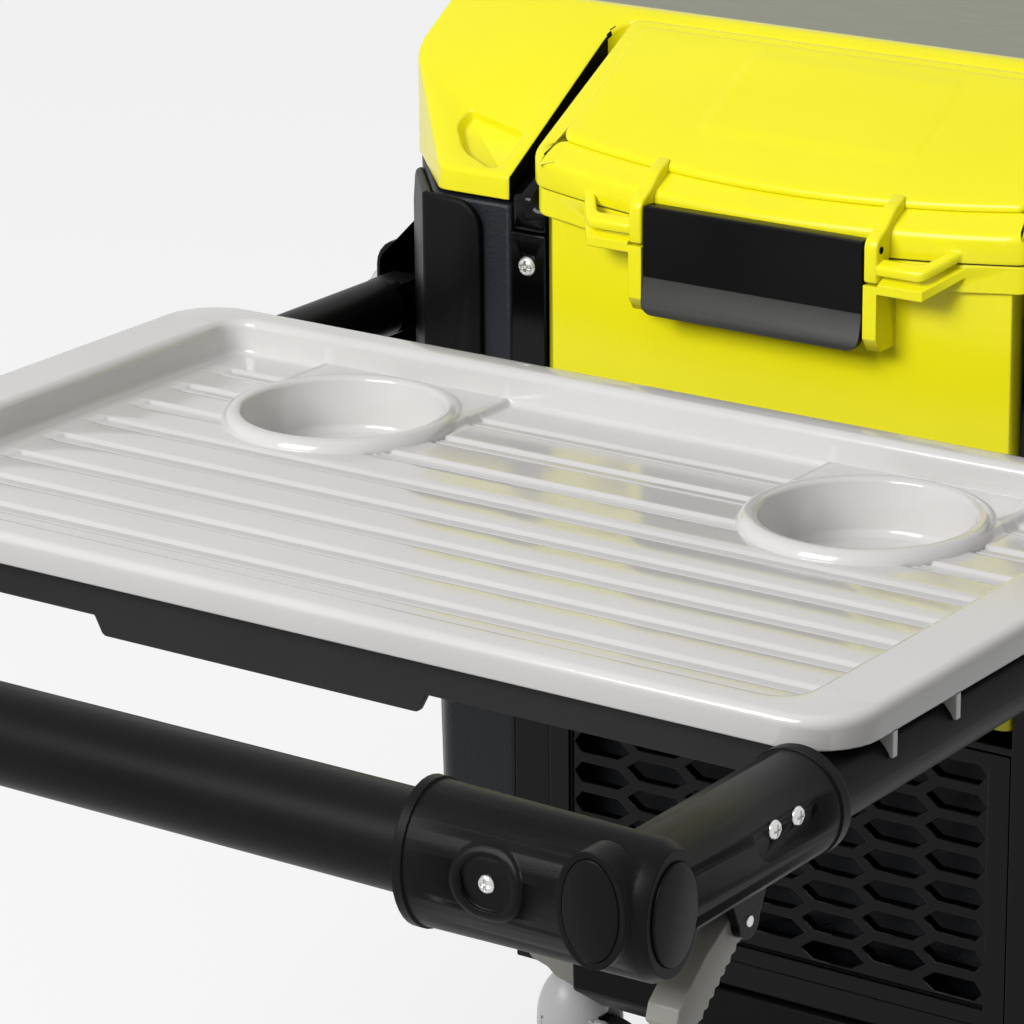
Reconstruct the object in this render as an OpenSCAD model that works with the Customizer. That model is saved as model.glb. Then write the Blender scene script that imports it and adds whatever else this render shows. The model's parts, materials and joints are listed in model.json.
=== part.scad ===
// Wheeled cooler with a fold-down pull handle that carries a clip-on serving tray,
// and with a lift-out front bin that has its own lid and latch.
// Build axes: X to the right, Y to the rear, Z up, zero on the middle plane, on the
// chest's front face and on the ground. Millimetres.

/* [Chest] */
// Width of the chest at its rim
chest_w = 472; // [440:1:520]
// Length of the chest from its front face to its rear face
chest_l = 640; // [560:1:760]
// Height of the chest's rim above the ground
chest_top = 462.5; // [440:0.5:500]
// Height of the chest's underside above the ground
chest_base = 100; // [96:1:104]
// Draft of the chest's side and rear walls in degrees
chest_draft = 2; // [1:0.1:3]
// Thickness of the outer shell
chest_wall = 4; // [3:0.5:7]
// Width of the corner chamfers across the chest
chamfer_w = 50; // [44:1:56]
// Length of the corner chamfers along the chest
nose_l = 60; // [50:1:66]
// Thickness of the foam in the walls
foam_side = 28; // [20:1:36]
// Thickness of the inner liner
liner_wall = 3; // [3:0.5:6]
// Height of the liner's underside above the chest's underside
liner_rise = 46; // [44:1:60]
// Draft of the liner in degrees
liner_draft = 3; // [1:0.1:4]

/* [Main lid] */
// Height of the lid's deck above the ground
deck_z = 536.5; // [520:0.5:560]
// Gap between the chest's rim and the lid
lid_gap = 2; // [1.5:0.1:3]
// How far the lid stands out past the chest on each side
lid_over = 2; // [1:0.5:4]
// Thickness of the lid's outer shell
lid_wall = 4; // [3:0.5:5]
// Height of the arms' front lip
lid_lip = 10.5; // [6:0.5:14]
// Place where the sloped hood meets the deck
hood_y = 97; // [95:0.5:110]
// Gap between the bay's sides and the lid's arms
arm_side = 0.2; // [0.2:0.1:1]
// Radius of the notch's rear corners
notch_r = 13; // [8:1:14]
// Thickness of the inset deck panel
worktop_t = 2; // [1:0.5:3]
// Border of lid left around the deck panel
worktop_border = 16; // [10:1:30]
// Depth that the lid's inner pan plugs into the liner
plug_h = 12; // [6:1:20]
// Length of the finger scoop
scoop_l = 27; // [22:1:40]
// Depth of the finger scoop
scoop_depth = 8; // [4:0.5:10]

/* [Lid hinge] */
// Distance of the hinge axis behind the chest's rear face
hinge_back = 10; // [9.5:0.5:14]
// Height of the hinge axis above the chest's rim
hinge_up = 5.5; // [4:0.5:8]
// Outer radius of the hinge knuckles
knuckle_r = 9; // [7:0.5:9.4]
// Radius of the hinge pins
hinge_pin_r = 4; // [3:0.5:5]
// Middle of each hinge across the chest
hinge_x = 140; // [110:1:170]
// Width of each chest lug
lug_w = 40; // [30:1:50]

/* [Bin bay and grille] */
// Width of the bay and of the glossy surround
bay_w = 285.2; // [280:0.1:290]
// Depth of the bay from the front face
bay_l = 92; // [90:1:98]
// Height of the bay's floor above the ground
bay_floor = 254; // [240:1:280]
// Width of each post
post_w = 19.4; // [17:0.1:21]
// Height of the seam across the posts
post_seam = 450; // [420:1:455]
// Height of the posts' front top edge
post_top = 467; // [466:0.5:472]
// Height of the screws on the posts
post_screw_z = 435; // [400:1:442]
// Depth of the recess behind the grille
grille_recess = 22; // [14:1:30]
// Height of the grille's lower frame edge
grille_z0 = 118; // [112:1:130]
// Border of the grille left around the honeycomb field
grille_border = 11.2; // [10:0.1:20]
// Horizontal step between neighbouring honeycomb columns
cell_step_x = 16.5; // [14:0.5:24]
// Vertical pitch of the honeycomb rows
cell_step_z = 15; // [12:0.5:20]
// Thickness of the webs between the cells
cell_web = 2.4; // [1.6:0.1:4]
// Thickness of the grille panel
grille_t = 5; // [3:0.5:8]

/* [Front bin] */
// Gap between the bin's walls and the posts
bin_side_gap = 0.8; // [0.6:0.1:2]
// Height of the bin's underside above the ground
bin_z0 = 262; // [260:1:290]
// Gap between the bin and the bay's back
bin_rear_gap = 3.5; // [3:0.5:6]
// Thickness of the bin's walls
bin_wall = 3; // [2:0.5:4]
// Depth of the bin lid's rear edge below the deck
lid_flush = 0.7; // [0.5:0.1:2]
// How far the rim stands out past the bin's walls
rim_over = 6.6; // [6:0.1:7.4]
// Height of the rim's lower edge at the front face
rim_z0 = 462; // [460:0.5:464]
// Depth of the bin's rim
rim_h = 12; // [8:0.5:14]
// How far the bin's lid stands out past the rim
lid_over_rim = 1.5; // [1:0.1:2]
// Depth of the lid's skirt
bin_lid_h = 13; // [10:0.5:16]
// Height of the raised panel on the lid
bin_panel_h = 4; // [2:0.5:6]
// How far the front bows out in the middle
bin_bow = 11; // [8:0.5:12]
// Radius of the rim's front corners
bin_corner_r = 9; // [7:1:14]
// Distance of the bin lid's hinge axis from the bin's rear
bin_hinge_in = 4; // [3.5:0.5:5]
// Depth of the bin lid's hinge axis below the deck
bin_hinge_drop = 9.5; // [9:0.5:10]
// Radius of the bin lid's hinge pin
bin_pin_r = 1.5; // [1:0.1:1.8]
// Middle of each bin hinge lug
bin_lug_x = 68; // [50:1:90]

/* [Latch and loops] */
// Width of the latch
latch_w = 112.2; // [90:0.1:112.6]
// Height of the latch's lower lip
latch_z0 = 430; // [424:1:440]
// Height of the latch's pin above the ground
latch_pin_z = 475.4; // [474:0.1:477]
// Place of the latch's pin
latch_pin_y = -18; // [-20:0.1:-18]
// Radius of the latch's pins
latch_pin_r = 1.75; // [1.2:0.05:2]
// Thickness of the latch plate
latch_t = 3.4; // [2.5:0.1:4]
// Thickness of the ears beside the latch
ear_t = 6.8; // [5:0.1:8]
// Place of the loops' outer corner
loop_x = 86; // [80:1:96]
// Thickness of the loop straps
loop_t = 5; // [3.5:0.1:6]

/* [Handle] */
// Distance of the crossbar's axis in front of the chest
crossbar_out = 490; // [460:1:540]
// Height of the tubes' axes above the ground
tube_z = 387.1; // [380:0.1:392]
// Radius of the crossbar
crossbar_r = 18.5; // [16:0.1:19]
// Radius of the side tubes
tube_r = 14.3; // [12:0.1:14.6]
// Wall of the tubes
tube_wall = 2; // [1.5:0.1:3]
// Distance of the side tubes' axes beside the chest's rim
tube_gap = 12.7; // [12:0.1:13.4]
// Place of the pivot axis behind the chest's front face
pivot_y = 75; // [72:1:80]
// Radius of the pivot bolts
pivot_r = 5; // [4:0.5:6]
// Reach of the corner fittings inwards from the side tubes' axes
corner_in = 82.2; // [76:0.1:90]
// Reach of the corner fittings outwards from the side tubes' axes
corner_out = 16.3; // [15:0.1:19]
// Radius of the sleeve on the side tubes
sleeve_r = 19.9; // [18:0.1:21]
// End of the sleeve in front of the chest
sleeve_end = 383.5; // [380:0.5:400]
// Width of the trigger between its ears
trigger_w = 13; // [10:0.5:15]
// Distance of the trigger's pin in front of the chest
trigger_out = 433; // [425:1:440]
// Height of the trigger's pin below the tube's axis
trigger_drop = 26; // [24:0.5:30]
// Radius of the trigger's pin
trigger_pin_r = 2; // [1.5:0.1:2.5]

/* [Tray] */
// How far the tray reaches out past the side tubes' axes
tray_over = 17.3; // [16.5:0.1:21]
// Front edge of the tray, in front of the chest
tray_front = 383; // [370:1:400]
// Rear edge of the tray, in front of the chest
tray_rear = 72; // [60:1:90]
// Height of the tray's floor above the ground
tray_floor = 400; // [399.5:0.5:404]
// Height of the rim above the floor
tray_rim_h = 16.3; // [12:0.1:24]
// Width of the side rims
tray_side_rim = 32.5; // [32.5:0.5:36]
// Width of the front rim
tray_front_rim = 18; // [16:0.5:26]
// Width of the rear rim
tray_rear_rim = 17; // [10:0.5:26]
// Thickness of the tray's walls
tray_t = 3; // [2.5:0.1:3.2]
// Radius of the tray's outer corners
tray_r = 28; // [20:1:40]
// Number of drain grooves
groove_n = 9; // [5:1:9]
// Spacing of the drain grooves
groove_step = 28.87; // [24:0.01:29]
// Width of a drain groove
groove_w = 10.5; // [8:0.1:12]
// Depth of a drain groove
groove_d = 2.2; // [1:0.1:2.6]
// Distance of the groove ends from the well's side walls
groove_end = 15.5; // [12:0.5:30]
// Distance of the front groove from the tray's front edge
groove_front = 35.6; // [32:0.1:40]
// Inner radius of the cup holders
cup_r = 44; // [36:0.5:46]
// Depth of the cup holders below the floor
cup_depth = 20; // [12:0.5:30]
// Distance of the cup holders from the middle
cup_x = 132; // [100:1:150]
// Distance of the cup holders' axes from the tray's rear edge
cup_from_rear = 70.6; // [66:0.1:90]
// Height of the cup rings above the floor
cup_ring_h = 5; // [3:0.1:8]
// Width of the cup rings
cup_ring_w = 9; // [6:0.1:12]
// Thickness of the support plate
plate_t = 3; // [2:0.1:3.2]

/* [Wheels] */
// Radius of the rear wheels
rear_r = 65; // [60:1:68]
// Width of the rear wheels
rear_w = 36; // [30:1:38]
// Place of the rear axle behind the chest's front face
rear_axle_y = 555; // [480:1:565]
// Distance of the wheels' inner faces inside the chest's rim
wheel_in = 49; // [46:0.5:50]
// Radius of the rear axle
axle_r = 6; // [5:0.5:8]
// Radius of the front caster wheels
caster_r = 25; // [20:1:27]
// Width of the front caster wheels
caster_w = 16; // [12:0.5:18]
// Distance of the casters' swivel axes from the middle
caster_x = 133; // [130:1:135]
// Place of the casters' swivel axes behind the chest's front face
caster_y = 34; // [32:1:38]
// Distance of the caster wheel's axle from the swivel axis
caster_trail = 14; // [8:1:18]
// Angle that the casters are swivelled to in degrees
caster_yaw = -70; // [-180:1:180]
// Radius of the casters' domed hoods
hood_r = 18; // [16:0.5:19]
// Radius of the caster wheels' axles
caster_axle_r = 2.5; // [2:0.1:3]

/* [Hidden] */
$fn = 48;

// Clearances shared by the pieces
run_fit = 0.05;
seat_gap = 0.3;
slip_gap = 0.8;
cut = 1;

// Derived chest values
bay_floor_t = 4;
rail_gap = 0.9;
chest_half = chest_w / 2;
nose_half = chest_half - chamfer_w;
draft_in = (chest_top - chest_base) * tan(chest_draft);
lid_z0 = chest_top + lid_gap;
bay_half = bay_w / 2;
post_half = bay_half - post_w;
post_screw_x = (post_half + bay_half) / 2;
bay_back = bay_l - 4;
bin_rear = bay_back - bin_rear_gap;
liner_front = bay_l + chest_wall + foam_side;
liner_rear = chest_l - chest_wall - foam_side;
liner_half = chest_half - chest_wall - foam_side;
liner_z0 = chest_base + liner_rise;
liner_flange = 3;
drain_x = 0;
drain_z = liner_z0 + 16;
drain_r = 14;
plug_gap = 5;
knuckle_l = 17;
knuckle_x = [hinge_x - lug_w / 2 - 0.5 - knuckle_l, hinge_x + lug_w / 2 + 0.5];
scoop_x0 = 152;
scoop_w = 36;
scoop_y0 = 4;
notch_y = bin_rear + 6.5;
hinge_y = chest_l + hinge_back;
hinge_z = chest_top + hinge_up;
lug_z0 = chest_top - 62;

// Derived bin values
bin_half = post_half - bin_side_gap;
rim_half = bin_half + rim_over;
bin_lid_half = rim_half + lid_over_rim;
bin_hinge_y = bin_rear - bin_hinge_in;
bin_hinge_z = deck_z - bin_hinge_drop;
rim_z1 = rim_z0 + rim_h;
lid_rim_z0 = rim_z1 + 1.6;
lid_rim_z1 = lid_rim_z0 + bin_lid_h;
slope_k = (deck_z - lid_flush - lid_rim_z1) / bin_rear;
wall_corner_y = -1;
rim_corner_y = -1;
lid_corner_y = -2.5;
catch_z = latch_z0 + 18;
catch_t = 4;
loop_front = latch_pin_y - 3.6;
latch_half = latch_w / 2;
catch_half = latch_half - 6;
catch_y = -13;
hook_slope = 1.7;
hook_tip_y = catch_y + 3;
hook_tip_z = catch_z - 0.3 - (hook_tip_y - catch_y + 0.5) * hook_slope;
ear_x0 = latch_half + slip_gap;
ear_x1 = ear_x0 + ear_t;
ear_front = loop_front;
ear_seam = 460.4;

// Derived handle values
tube_x = chest_half + tube_gap;
corner_x0 = tube_x - corner_in;
corner_x1 = tube_x + corner_out;
crossbar_y = -crossbar_out;
sleeve_y = -sleeve_end;
trigger_y = -trigger_out;
trigger_z = tube_z - trigger_drop;
eye_x0 = tube_x - 8.2;
eye_x1 = tube_x + 9.8;
eye_r = 13;
neck_h = eye_r - 1.5;
eye_y0 = pivot_y - 33;
oval_in = [42, 53];
oval_out = [37.6, 50.4];
oval_z = tube_z - 1.7;
bead = 0.8;
hood_x1 = tube_x + 20.8;
hood_top = tube_z + 25.9;
hood_t = 4.1;
hood_y0 = nose_l + 6.8;
hood_y1 = pivot_y + 41;
bracket_t = 4;
hood_in = chest_half + 3.1;
bracket_x0 = nose_half - 28.5;
bracket_z0 = tube_z - 57;
bracket_screw_x = bracket_x0 + 13;
bracket_screw_z = [tube_z - 40, tube_z - 10];
badge_x = corner_x1 - 19;
badge_z = tube_z + 2.5;
badge_front = crossbar_y - oval_in[0] / 2 - 0.2;
front_screw_x = corner_x0 + 36.5;
front_screw_z = tube_z + 1.4;
front_recess_y = crossbar_y - crossbar_r - 0.6;
side_recess_x = tube_x + sleeve_r - 2.9;
side_screw_y = [trigger_y + 4, trigger_y + 19];

// Derived tray values
tray_y0 = -tray_front;
tray_y1 = -tray_rear;
tray_top = tray_floor + tray_rim_h;
tray_half = tube_x + tray_over;
well_half = tray_half - tray_side_rim;
groove_x = well_half - groove_end;
well_y0 = tray_y0 + tray_front_rim;
well_y1 = tray_y1 - tray_rear_rim;
tray_floor_t = 4;
tray_under = tray_floor - tray_floor_t;
groove_y0 = tray_y0 + groove_front;
groove_arc = (pow(groove_w / 2, 2) + pow(groove_d, 2)) / (2 * groove_d);
cup_y = tray_y1 - cup_from_rear;
plate_z1 = tray_under - 0.5;
plate_z0 = plate_z1 - plate_t;
apron_y = tray_y0 + 9;
apron_z = tube_z + 0.6;
tab_z = apron_z - 7.7;
tab_half = 80;
cradle_y = [tray_y0 + 48, tray_y0 + 140, tray_y0 + 263];
cradle_l = 30;
plate_half = tube_x - sqrt(pow(tube_r, 2) - pow(plate_z0 - tube_z, 2)) - 0.4;
saddle_y = [tray_y0 + 38, tray_y0 + 83, tray_y0 + 183, tray_y0 + 243, tray_y0 + 298];
cup_wall = 2.5;
pad_half = 52;
pad_h = 3;

// Derived wheel values
rear_wheel_x = chest_half - wheel_in;
well_x = rear_wheel_x - 6;
rim_r = rear_r * 0.7;
well_r = rear_r + 7;
fork_gap = caster_w + 2;
stem_z = 82;
stem_r = 5;
frame_half = caster_x + 25;
frame_z0 = 88;
leg_x1 = rear_wheel_x - 32;
leg_x0 = leg_x1 - 15;
bumper_half = caster_x - 25;
bumper_z0 = 72;

// Middle of the object from its front and rear reach
front_reach = crossbar_y - oval_in[0] / 2 - bead;
rear_reach = hinge_y + knuckle_r;
middle_y = (front_reach + rear_reach) / 2;

// Colours
lime = [0.83, 0.87, 0.06];
navy = [0.12, 0.14, 0.19];
black = [0.06, 0.06, 0.065];
gloss_black = [0.03, 0.03, 0.035];
tray_grey = [0.62, 0.61, 0.6];
lever_grey = [0.42, 0.42, 0.39];
deck_grey = [0.46, 0.47, 0.43];
steel = [0.75, 0.75, 0.74];
white = [0.9, 0.9, 0.88];
rubber = [0.09, 0.09, 0.1];
pale_grey = [0.78, 0.77, 0.77];

function unit(v) = v / norm(v);

// Points of the arc that rounds the corner b between its neighbours a and c
function corner_arc(a, b, c, r, n) =
    let (u = unit(a - b), v = unit(c - b), half = acos(u * v) / 2,
         centre = b + unit(u + v) * r / sin(half),
         p = b + u * r / tan(half) - centre, q = b + v * r / tan(half) - centre,
         a0 = atan2(p[1], p[0]), turn = atan2(q[1], q[0]) - a0,
         sweep = turn > 180 ? turn - 360 : turn < -180 ? turn + 360 : turn)
    [for (i = [0:n]) let (t = a0 + sweep * i / n) centre + r * [cos(t), sin(t)]];

// A polygon's points with each corner rounded to its own radius
function rounded(points, radii, n = 5) =
    let (count = len(points))
    [for (i = [0:count - 1])
        each (radii[i] == 0 ? [points[i]]
            : corner_arc(points[(i + count - 1) % count], points[i], points[(i + 1) % count], radii[i], n))];

// Points of an ellipse of a given width and height
function ellipse(w, h, n = 40) = [for (i = [0:n - 1]) [w / 2 * cos(360 * i / n), h / 2 * sin(360 * i / n)]];

function box_outline(x0, x1, y0, y1) = [[x0, y0], [x1, y0], [x1, y1], [x0, y1]];
function round_box(x0, x1, y0, y1, r, n = 5) = rounded(box_outline(x0, x1, y0, y1), [r, r, r, r], n);

// Plan of the chest or lid: a box with chamfered front corners, drawn in by an inset
function chest_plan(half, nose, y0, chamfer, y1, inset, n = 5) =
    rounded([[-nose + inset, y0 + inset], [nose - inset, y0 + inset],
             [half - inset, y0 + chamfer], [half - inset, y1 - inset],
             [-half + inset, y1 - inset], [-half + inset, y0 + chamfer]],
            [10, 10, 20, 24, 24, 20], n);

// Plan of the bin or its lid: a straight rear, rounded corners and a bowed front
function bow_plan(half, corner_y, bow, rear, r, n = 8) =
    let (bow_r = (half * half + bow * bow) / (2 * bow), bow_y = corner_y - bow + bow_r,
         cy = bow_y - sqrt(pow(bow_r - r, 2) - pow(half - r, 2)),
         a = atan2(half - r, bow_y - cy))
    concat([for (i = [0:n]) let (t = -a + 2 * a * i / n) [bow_r * sin(t), bow_y - bow_r * cos(t)]],
           [for (i = [1:n]) let (t = a + (90 - a) * i / n) [half - r + r * sin(t), cy - r * cos(t)]],
           [[half, rear], [-half, rear]],
           [for (i = [0:n - 1]) let (t = 90 - (90 - a) * i / n) [-half + r - r * sin(t), cy - r * cos(t)]]);

module placed() translate([0, -middle_y, 0]) children();

module both_sides() {
    children();
    mirror([1, 0, 0]) children();
}

module left_side() mirror([1, 0, 0]) children();

module along_x(x0, x1) translate([x0, 0, 0]) rotate([90, 0, 90]) linear_extrude(x1 - x0) children();

// A rod along X, and one along Y
module rod_x(x0, x1, y, z, r) translate([x0, y, z]) rotate([0, 90, 0]) cylinder(r = r, h = x1 - x0);
module rod_y(x, y0, y1, z, r) translate([x, y0, z]) rotate([-90, 0, 0]) cylinder(r = r, h = y1 - y0);

module box(x0, x1, y0, y1, z0, z1) translate([x0, y0, z0]) cube([x1 - x0, y1 - y0, z1 - z0]);

module upright(points, z0, z1) translate([0, 0, z0]) linear_extrude(z1 - z0) polygon(points);

// A slab between two planes that climb to the rear with the bin's slope
module sloped_slab(z0, z1, half = 200, y0 = -60, y1 = 140)
    along_x(-half, half) polygon([[y0, z0 + slope_k * y0], [y1, z0 + slope_k * y1],
                                  [y1, z1 + slope_k * y1], [y0, z1 + slope_k * y0]]);

// A pan-head screw with a cross recess, head up along Z with its seat at zero
module pan_screw(head_r, head_h, shank_r, shank_l) {
    slot_w = head_r * 0.28;
    difference() {
        rotate_extrude() polygon([[0, 0], [head_r, 0], [head_r, head_h * 0.35],
                                  [head_r * 0.8, head_h * 0.8], [head_r * 0.45, head_h], [0, head_h]]);
        for (turn = [0, 90]) rotate(turn)
            translate([-head_r * 0.6, -slot_w / 2, head_h * 0.45]) cube([head_r * 1.2, slot_w, head_h]);
    }
    if (shank_l > 0) translate([0, 0, -shank_l]) cylinder(r = shank_r, h = shank_l);
}

function rear_at(z) = chest_l - (chest_top - z) * tan(chest_draft);

// The chest's tapered outer block, drawn in by an inset
module chest_block(inset, z0, z1) {
    top_in = inset - (z1 - chest_top) * tan(chest_draft);
    base_in = inset + (chest_top - z0) * tan(chest_draft);
    hull() {
        upright(chest_plan(chest_half - top_in + inset, nose_half, 0, nose_l, chest_l - top_in + inset, inset),
                z1 - 0.01, z1);
        upright(chest_plan(chest_half - base_in + inset, nose_half - 3, 0, nose_l, chest_l - base_in + inset, inset),
                z0, z0 + 0.01);
    }
}

module bay_space(extra) box(-bay_half - extra, bay_half + extra, -cut, bay_l + extra,
                            bay_floor - bay_floor_t - extra, chest_top + cut);

module grille_space(extra) box(-bay_half - extra, bay_half + extra, -cut, grille_recess + extra,
                               chest_base - cut, bay_floor + cut);

module wheel_space(extra) both_sides() {
    rod_x(well_x - extra, chest_half + cut, rear_axle_y, rear_r, well_r + extra);
    box(well_x - extra, chest_half + cut, rear_axle_y - well_r - extra, rear_axle_y + well_r + extra,
        chest_base - cut, rear_r);
}

// The hollow between the shell and the liner, closed above the two front pods
module foam_space() difference() {
    chest_block(chest_wall, chest_base + chest_wall, chest_top + 0.02);
    bay_space(chest_wall);
    grille_space(chest_wall);
    wheel_space(chest_wall);
    box(-chest_half, chest_half, -cut, bay_l + chest_wall, chest_top - chest_wall, chest_top + 10);
}

module liner_block(inset, z0, z1) {
    function reach(z) = (chest_top - z) * tan(liner_draft) + inset;
    hull() for (z = [z0, z1 - 0.01])
        upright(round_box(-liner_half + reach(z), liner_half - reach(z), liner_front + reach(z),
                          liner_rear - reach(z), 30), z, z + 0.01);
}

module chest_shell() color(navy) difference() {
    chest_block(0, chest_base, chest_top);
    foam_space();
    bay_space(0);
    grille_space(0);
    wheel_space(0);
    rod_y(drain_x, chest_l - 80, chest_l + cut, drain_z, drain_r);
    both_sides() rod_x(chest_half - 20, chest_half + cut, pivot_y, tube_z, pivot_r);
}

module insulation() color(white) difference() {
    foam_space();
    liner_block(0, liner_z0, chest_top);
    box(-chest_half, chest_half, 0, chest_l, chest_top - liner_flange, chest_top + cut);
    rod_y(drain_x, liner_rear - 60, chest_l, drain_z, drain_r);
}

module ice_liner() color(white) difference() {
    union() {
        liner_block(0, liner_z0, chest_top);
        intersection() {
            chest_block(chest_wall, chest_top - liner_flange, chest_top);
            box(-chest_half, chest_half, bay_l + chest_wall, chest_l, chest_top - liner_flange, chest_top);
        }
    }
    liner_block(liner_wall, liner_z0 + liner_wall, chest_top + cut);
    rod_y(drain_x, liner_rear - 60, chest_l, drain_z, drain_r - 3);
}

module drain_spout() color(black) difference() {
    union() {
        rod_y(drain_x, liner_rear - 20, chest_l + 4, drain_z, drain_r - 3);
        rod_y(drain_x, chest_l - draft_in, chest_l + 4, drain_z, drain_r);
    }
    rod_y(drain_x, liner_rear - 40, chest_l + 5, drain_z, drain_r - 6);
}

module drain_cap() color(black) difference() {
    union() {
        rod_y(drain_x, chest_l + 4 + seat_gap, chest_l + 12, drain_z, drain_r);
        rod_y(drain_x, chest_l - 10, chest_l + 5, drain_z, drain_r - 6 - run_fit);
        box(drain_x - 2.5, drain_x + 2.5, chest_l + 12, chest_l + 18, drain_z - drain_r + 3, drain_z + drain_r - 3);
    }
    for (a = [0:30:330]) translate([drain_x, chest_l + 8, drain_z]) rotate([0, a, 0])
        translate([drain_r, 0, 0]) rotate([90, 0, 0]) cylinder(r = 1.2, h = 10, center = true);
}

// Glossy surround: two posts with pockets behind them, a floor, a back and the grille's frame
module bin_bay() color(gloss_black) difference() {
    union() {
        both_sides() box(post_half, bay_half, 0, bay_back, bay_floor, post_seam);
        box(-bay_half, bay_half, 0, bay_l, bay_floor - bay_floor_t, bay_floor);
        box(-bay_half, bay_half, bay_back, bay_l, bay_floor, chest_top);
        box(-bay_half, bay_half, 0, 5, chest_base + 4, bay_floor);
        both_sides() box(bay_half - 4, bay_half, 0, grille_recess, chest_base + 4, bay_floor);
    }
    both_sides() box(post_half + 4, bay_half + cut, 6, bay_back - 6, bay_floor + 6, post_seam - 4);
    box(-post_half + 0.3, post_half - 0.3, -cut, 6, grille_z0 - 0.3, bay_floor - 3.7);
    both_sides() translate([post_screw_x, 0, post_screw_z]) rotate([-90, 0, 0])
        translate([0, 0, -cut]) cylinder(r = 1.8, h = 12);
}

// Sloped tops of the posts, with the ledge that the bin's rim rests on
module bay_rails() color(gloss_black) both_sides() difference() {
    intersection() {
        box(post_half, bay_half, 0, bay_back, post_seam + 0.4, chest_top + 80);
        lid_notch(-rail_gap, post_seam, chest_top + 90);
    }
    sloped_slab(post_top, post_top + 200);
    intersection() {
        box(0, rim_half + slip_gap, -cut, bay_l, 0, chest_top + 200);
        sloped_slab(rim_z0 - seat_gap, rim_z0 + 200);
    }
}

module post_screws() color(steel) both_sides() translate([post_screw_x, 0, post_screw_z])
    rotate([90, 0, 0]) pan_screw(4.6, 2.8, 1.8, 10);

// One hexagon of the honeycomb, pointed to the left and right
module cell() {
    half_z = (cell_step_z - cell_web) / 2;
    tip = cell_step_x * 2 / 3 - cell_web * 0.6;
    flat = cell_step_x / 3 - cell_web * 0.1;
    polygon([[tip, 0], [flat, half_z], [-flat, half_z], [-tip, 0], [-flat, -half_z], [flat, -half_z]]);
}

module grille() {
    z1 = bay_floor - 4;
    field_half = post_half - grille_border;
    field_z0 = grille_z0 + 10;
    field_z1 = z1 - 8;
    columns = floor((field_half - cell_step_x * 2 / 3) / cell_step_x);
    rows = floor((field_z1 - field_z0) / cell_step_z);
    mid_z = (field_z0 + field_z1) / 2;
    color(gloss_black) difference() {
        union() {
            box(-post_half + 0.6, post_half - 0.6, 2.5, 2.5 + grille_t, grille_z0, z1 - 0.3);
            difference() {
                box(-post_half + 0.6, post_half - 0.6, 0, 3, grille_z0, z1 - 0.3);
                box(-field_half, field_half, -cut, 4, field_z0 - 2, field_z1 + 2);
            }
        }
        for (i = [-columns:columns]) {
            odd = abs(i) % 2;
            count = rows - odd;
            for (j = [0:count - 1])
                translate([i * cell_step_x, 20, mid_z + (j - (count - 1) / 2) * cell_step_z])
                    rotate([90, 0, 0]) linear_extrude(24) cell();
        }
    }
}

module front_bumper() color(black) difference() {
    box(-bumper_half, bumper_half, -4, 16, bumper_z0, chest_base + 4);
    along_x(-bumper_half - cut, bumper_half + cut)
        polygon([[-5, bumper_z0 - cut], [9, bumper_z0 - cut], [-5, bumper_z0 + 12]]);
    both_sides() translate([bumper_half, 0, bumper_z0]) rotate([0, 45, 0]) cube([14, 60, 14], center = true);
}

module skid_band() color(deck_grey) both_sides()
    translate([0, 16, 0]) rotate([90, 0, 0]) linear_extrude(16)
        polygon([[bumper_half + seat_gap, bumper_z0 + 9.5], [bumper_half + 13, bumper_z0 + 13],
                 [bumper_half + 17, bumper_z0 + 16.5], [bumper_half + 26, bumper_z0 + 19],
                 [bumper_half + 34, chest_base], [bumper_half + seat_gap, chest_base]]);

module base_frame() color(black) difference() {
    union() {
        box(-frame_half, frame_half, 64, rear_axle_y + 45, frame_z0, chest_base);
        both_sides() box(caster_x - 21, caster_x + 21, 16, 66, stem_z, chest_base);
        both_sides() box(leg_x0, leg_x1, rear_axle_y - 16, rear_axle_y + 16, rear_r, frame_z0 + 2);
        both_sides() rod_x(leg_x0, leg_x1, rear_axle_y, rear_r, 16);
    }
    for (y = [84:74:rear_axle_y - 60])
        box(-frame_half + 18, frame_half - 18, y, y + 62, frame_z0 - cut, chest_base - 4);
    rod_x(-frame_half, frame_half, rear_axle_y, rear_r, axle_r);
    both_sides() translate([caster_x, caster_y, stem_z - cut]) cylinder(r = stem_r, h = 14);
}

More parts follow.
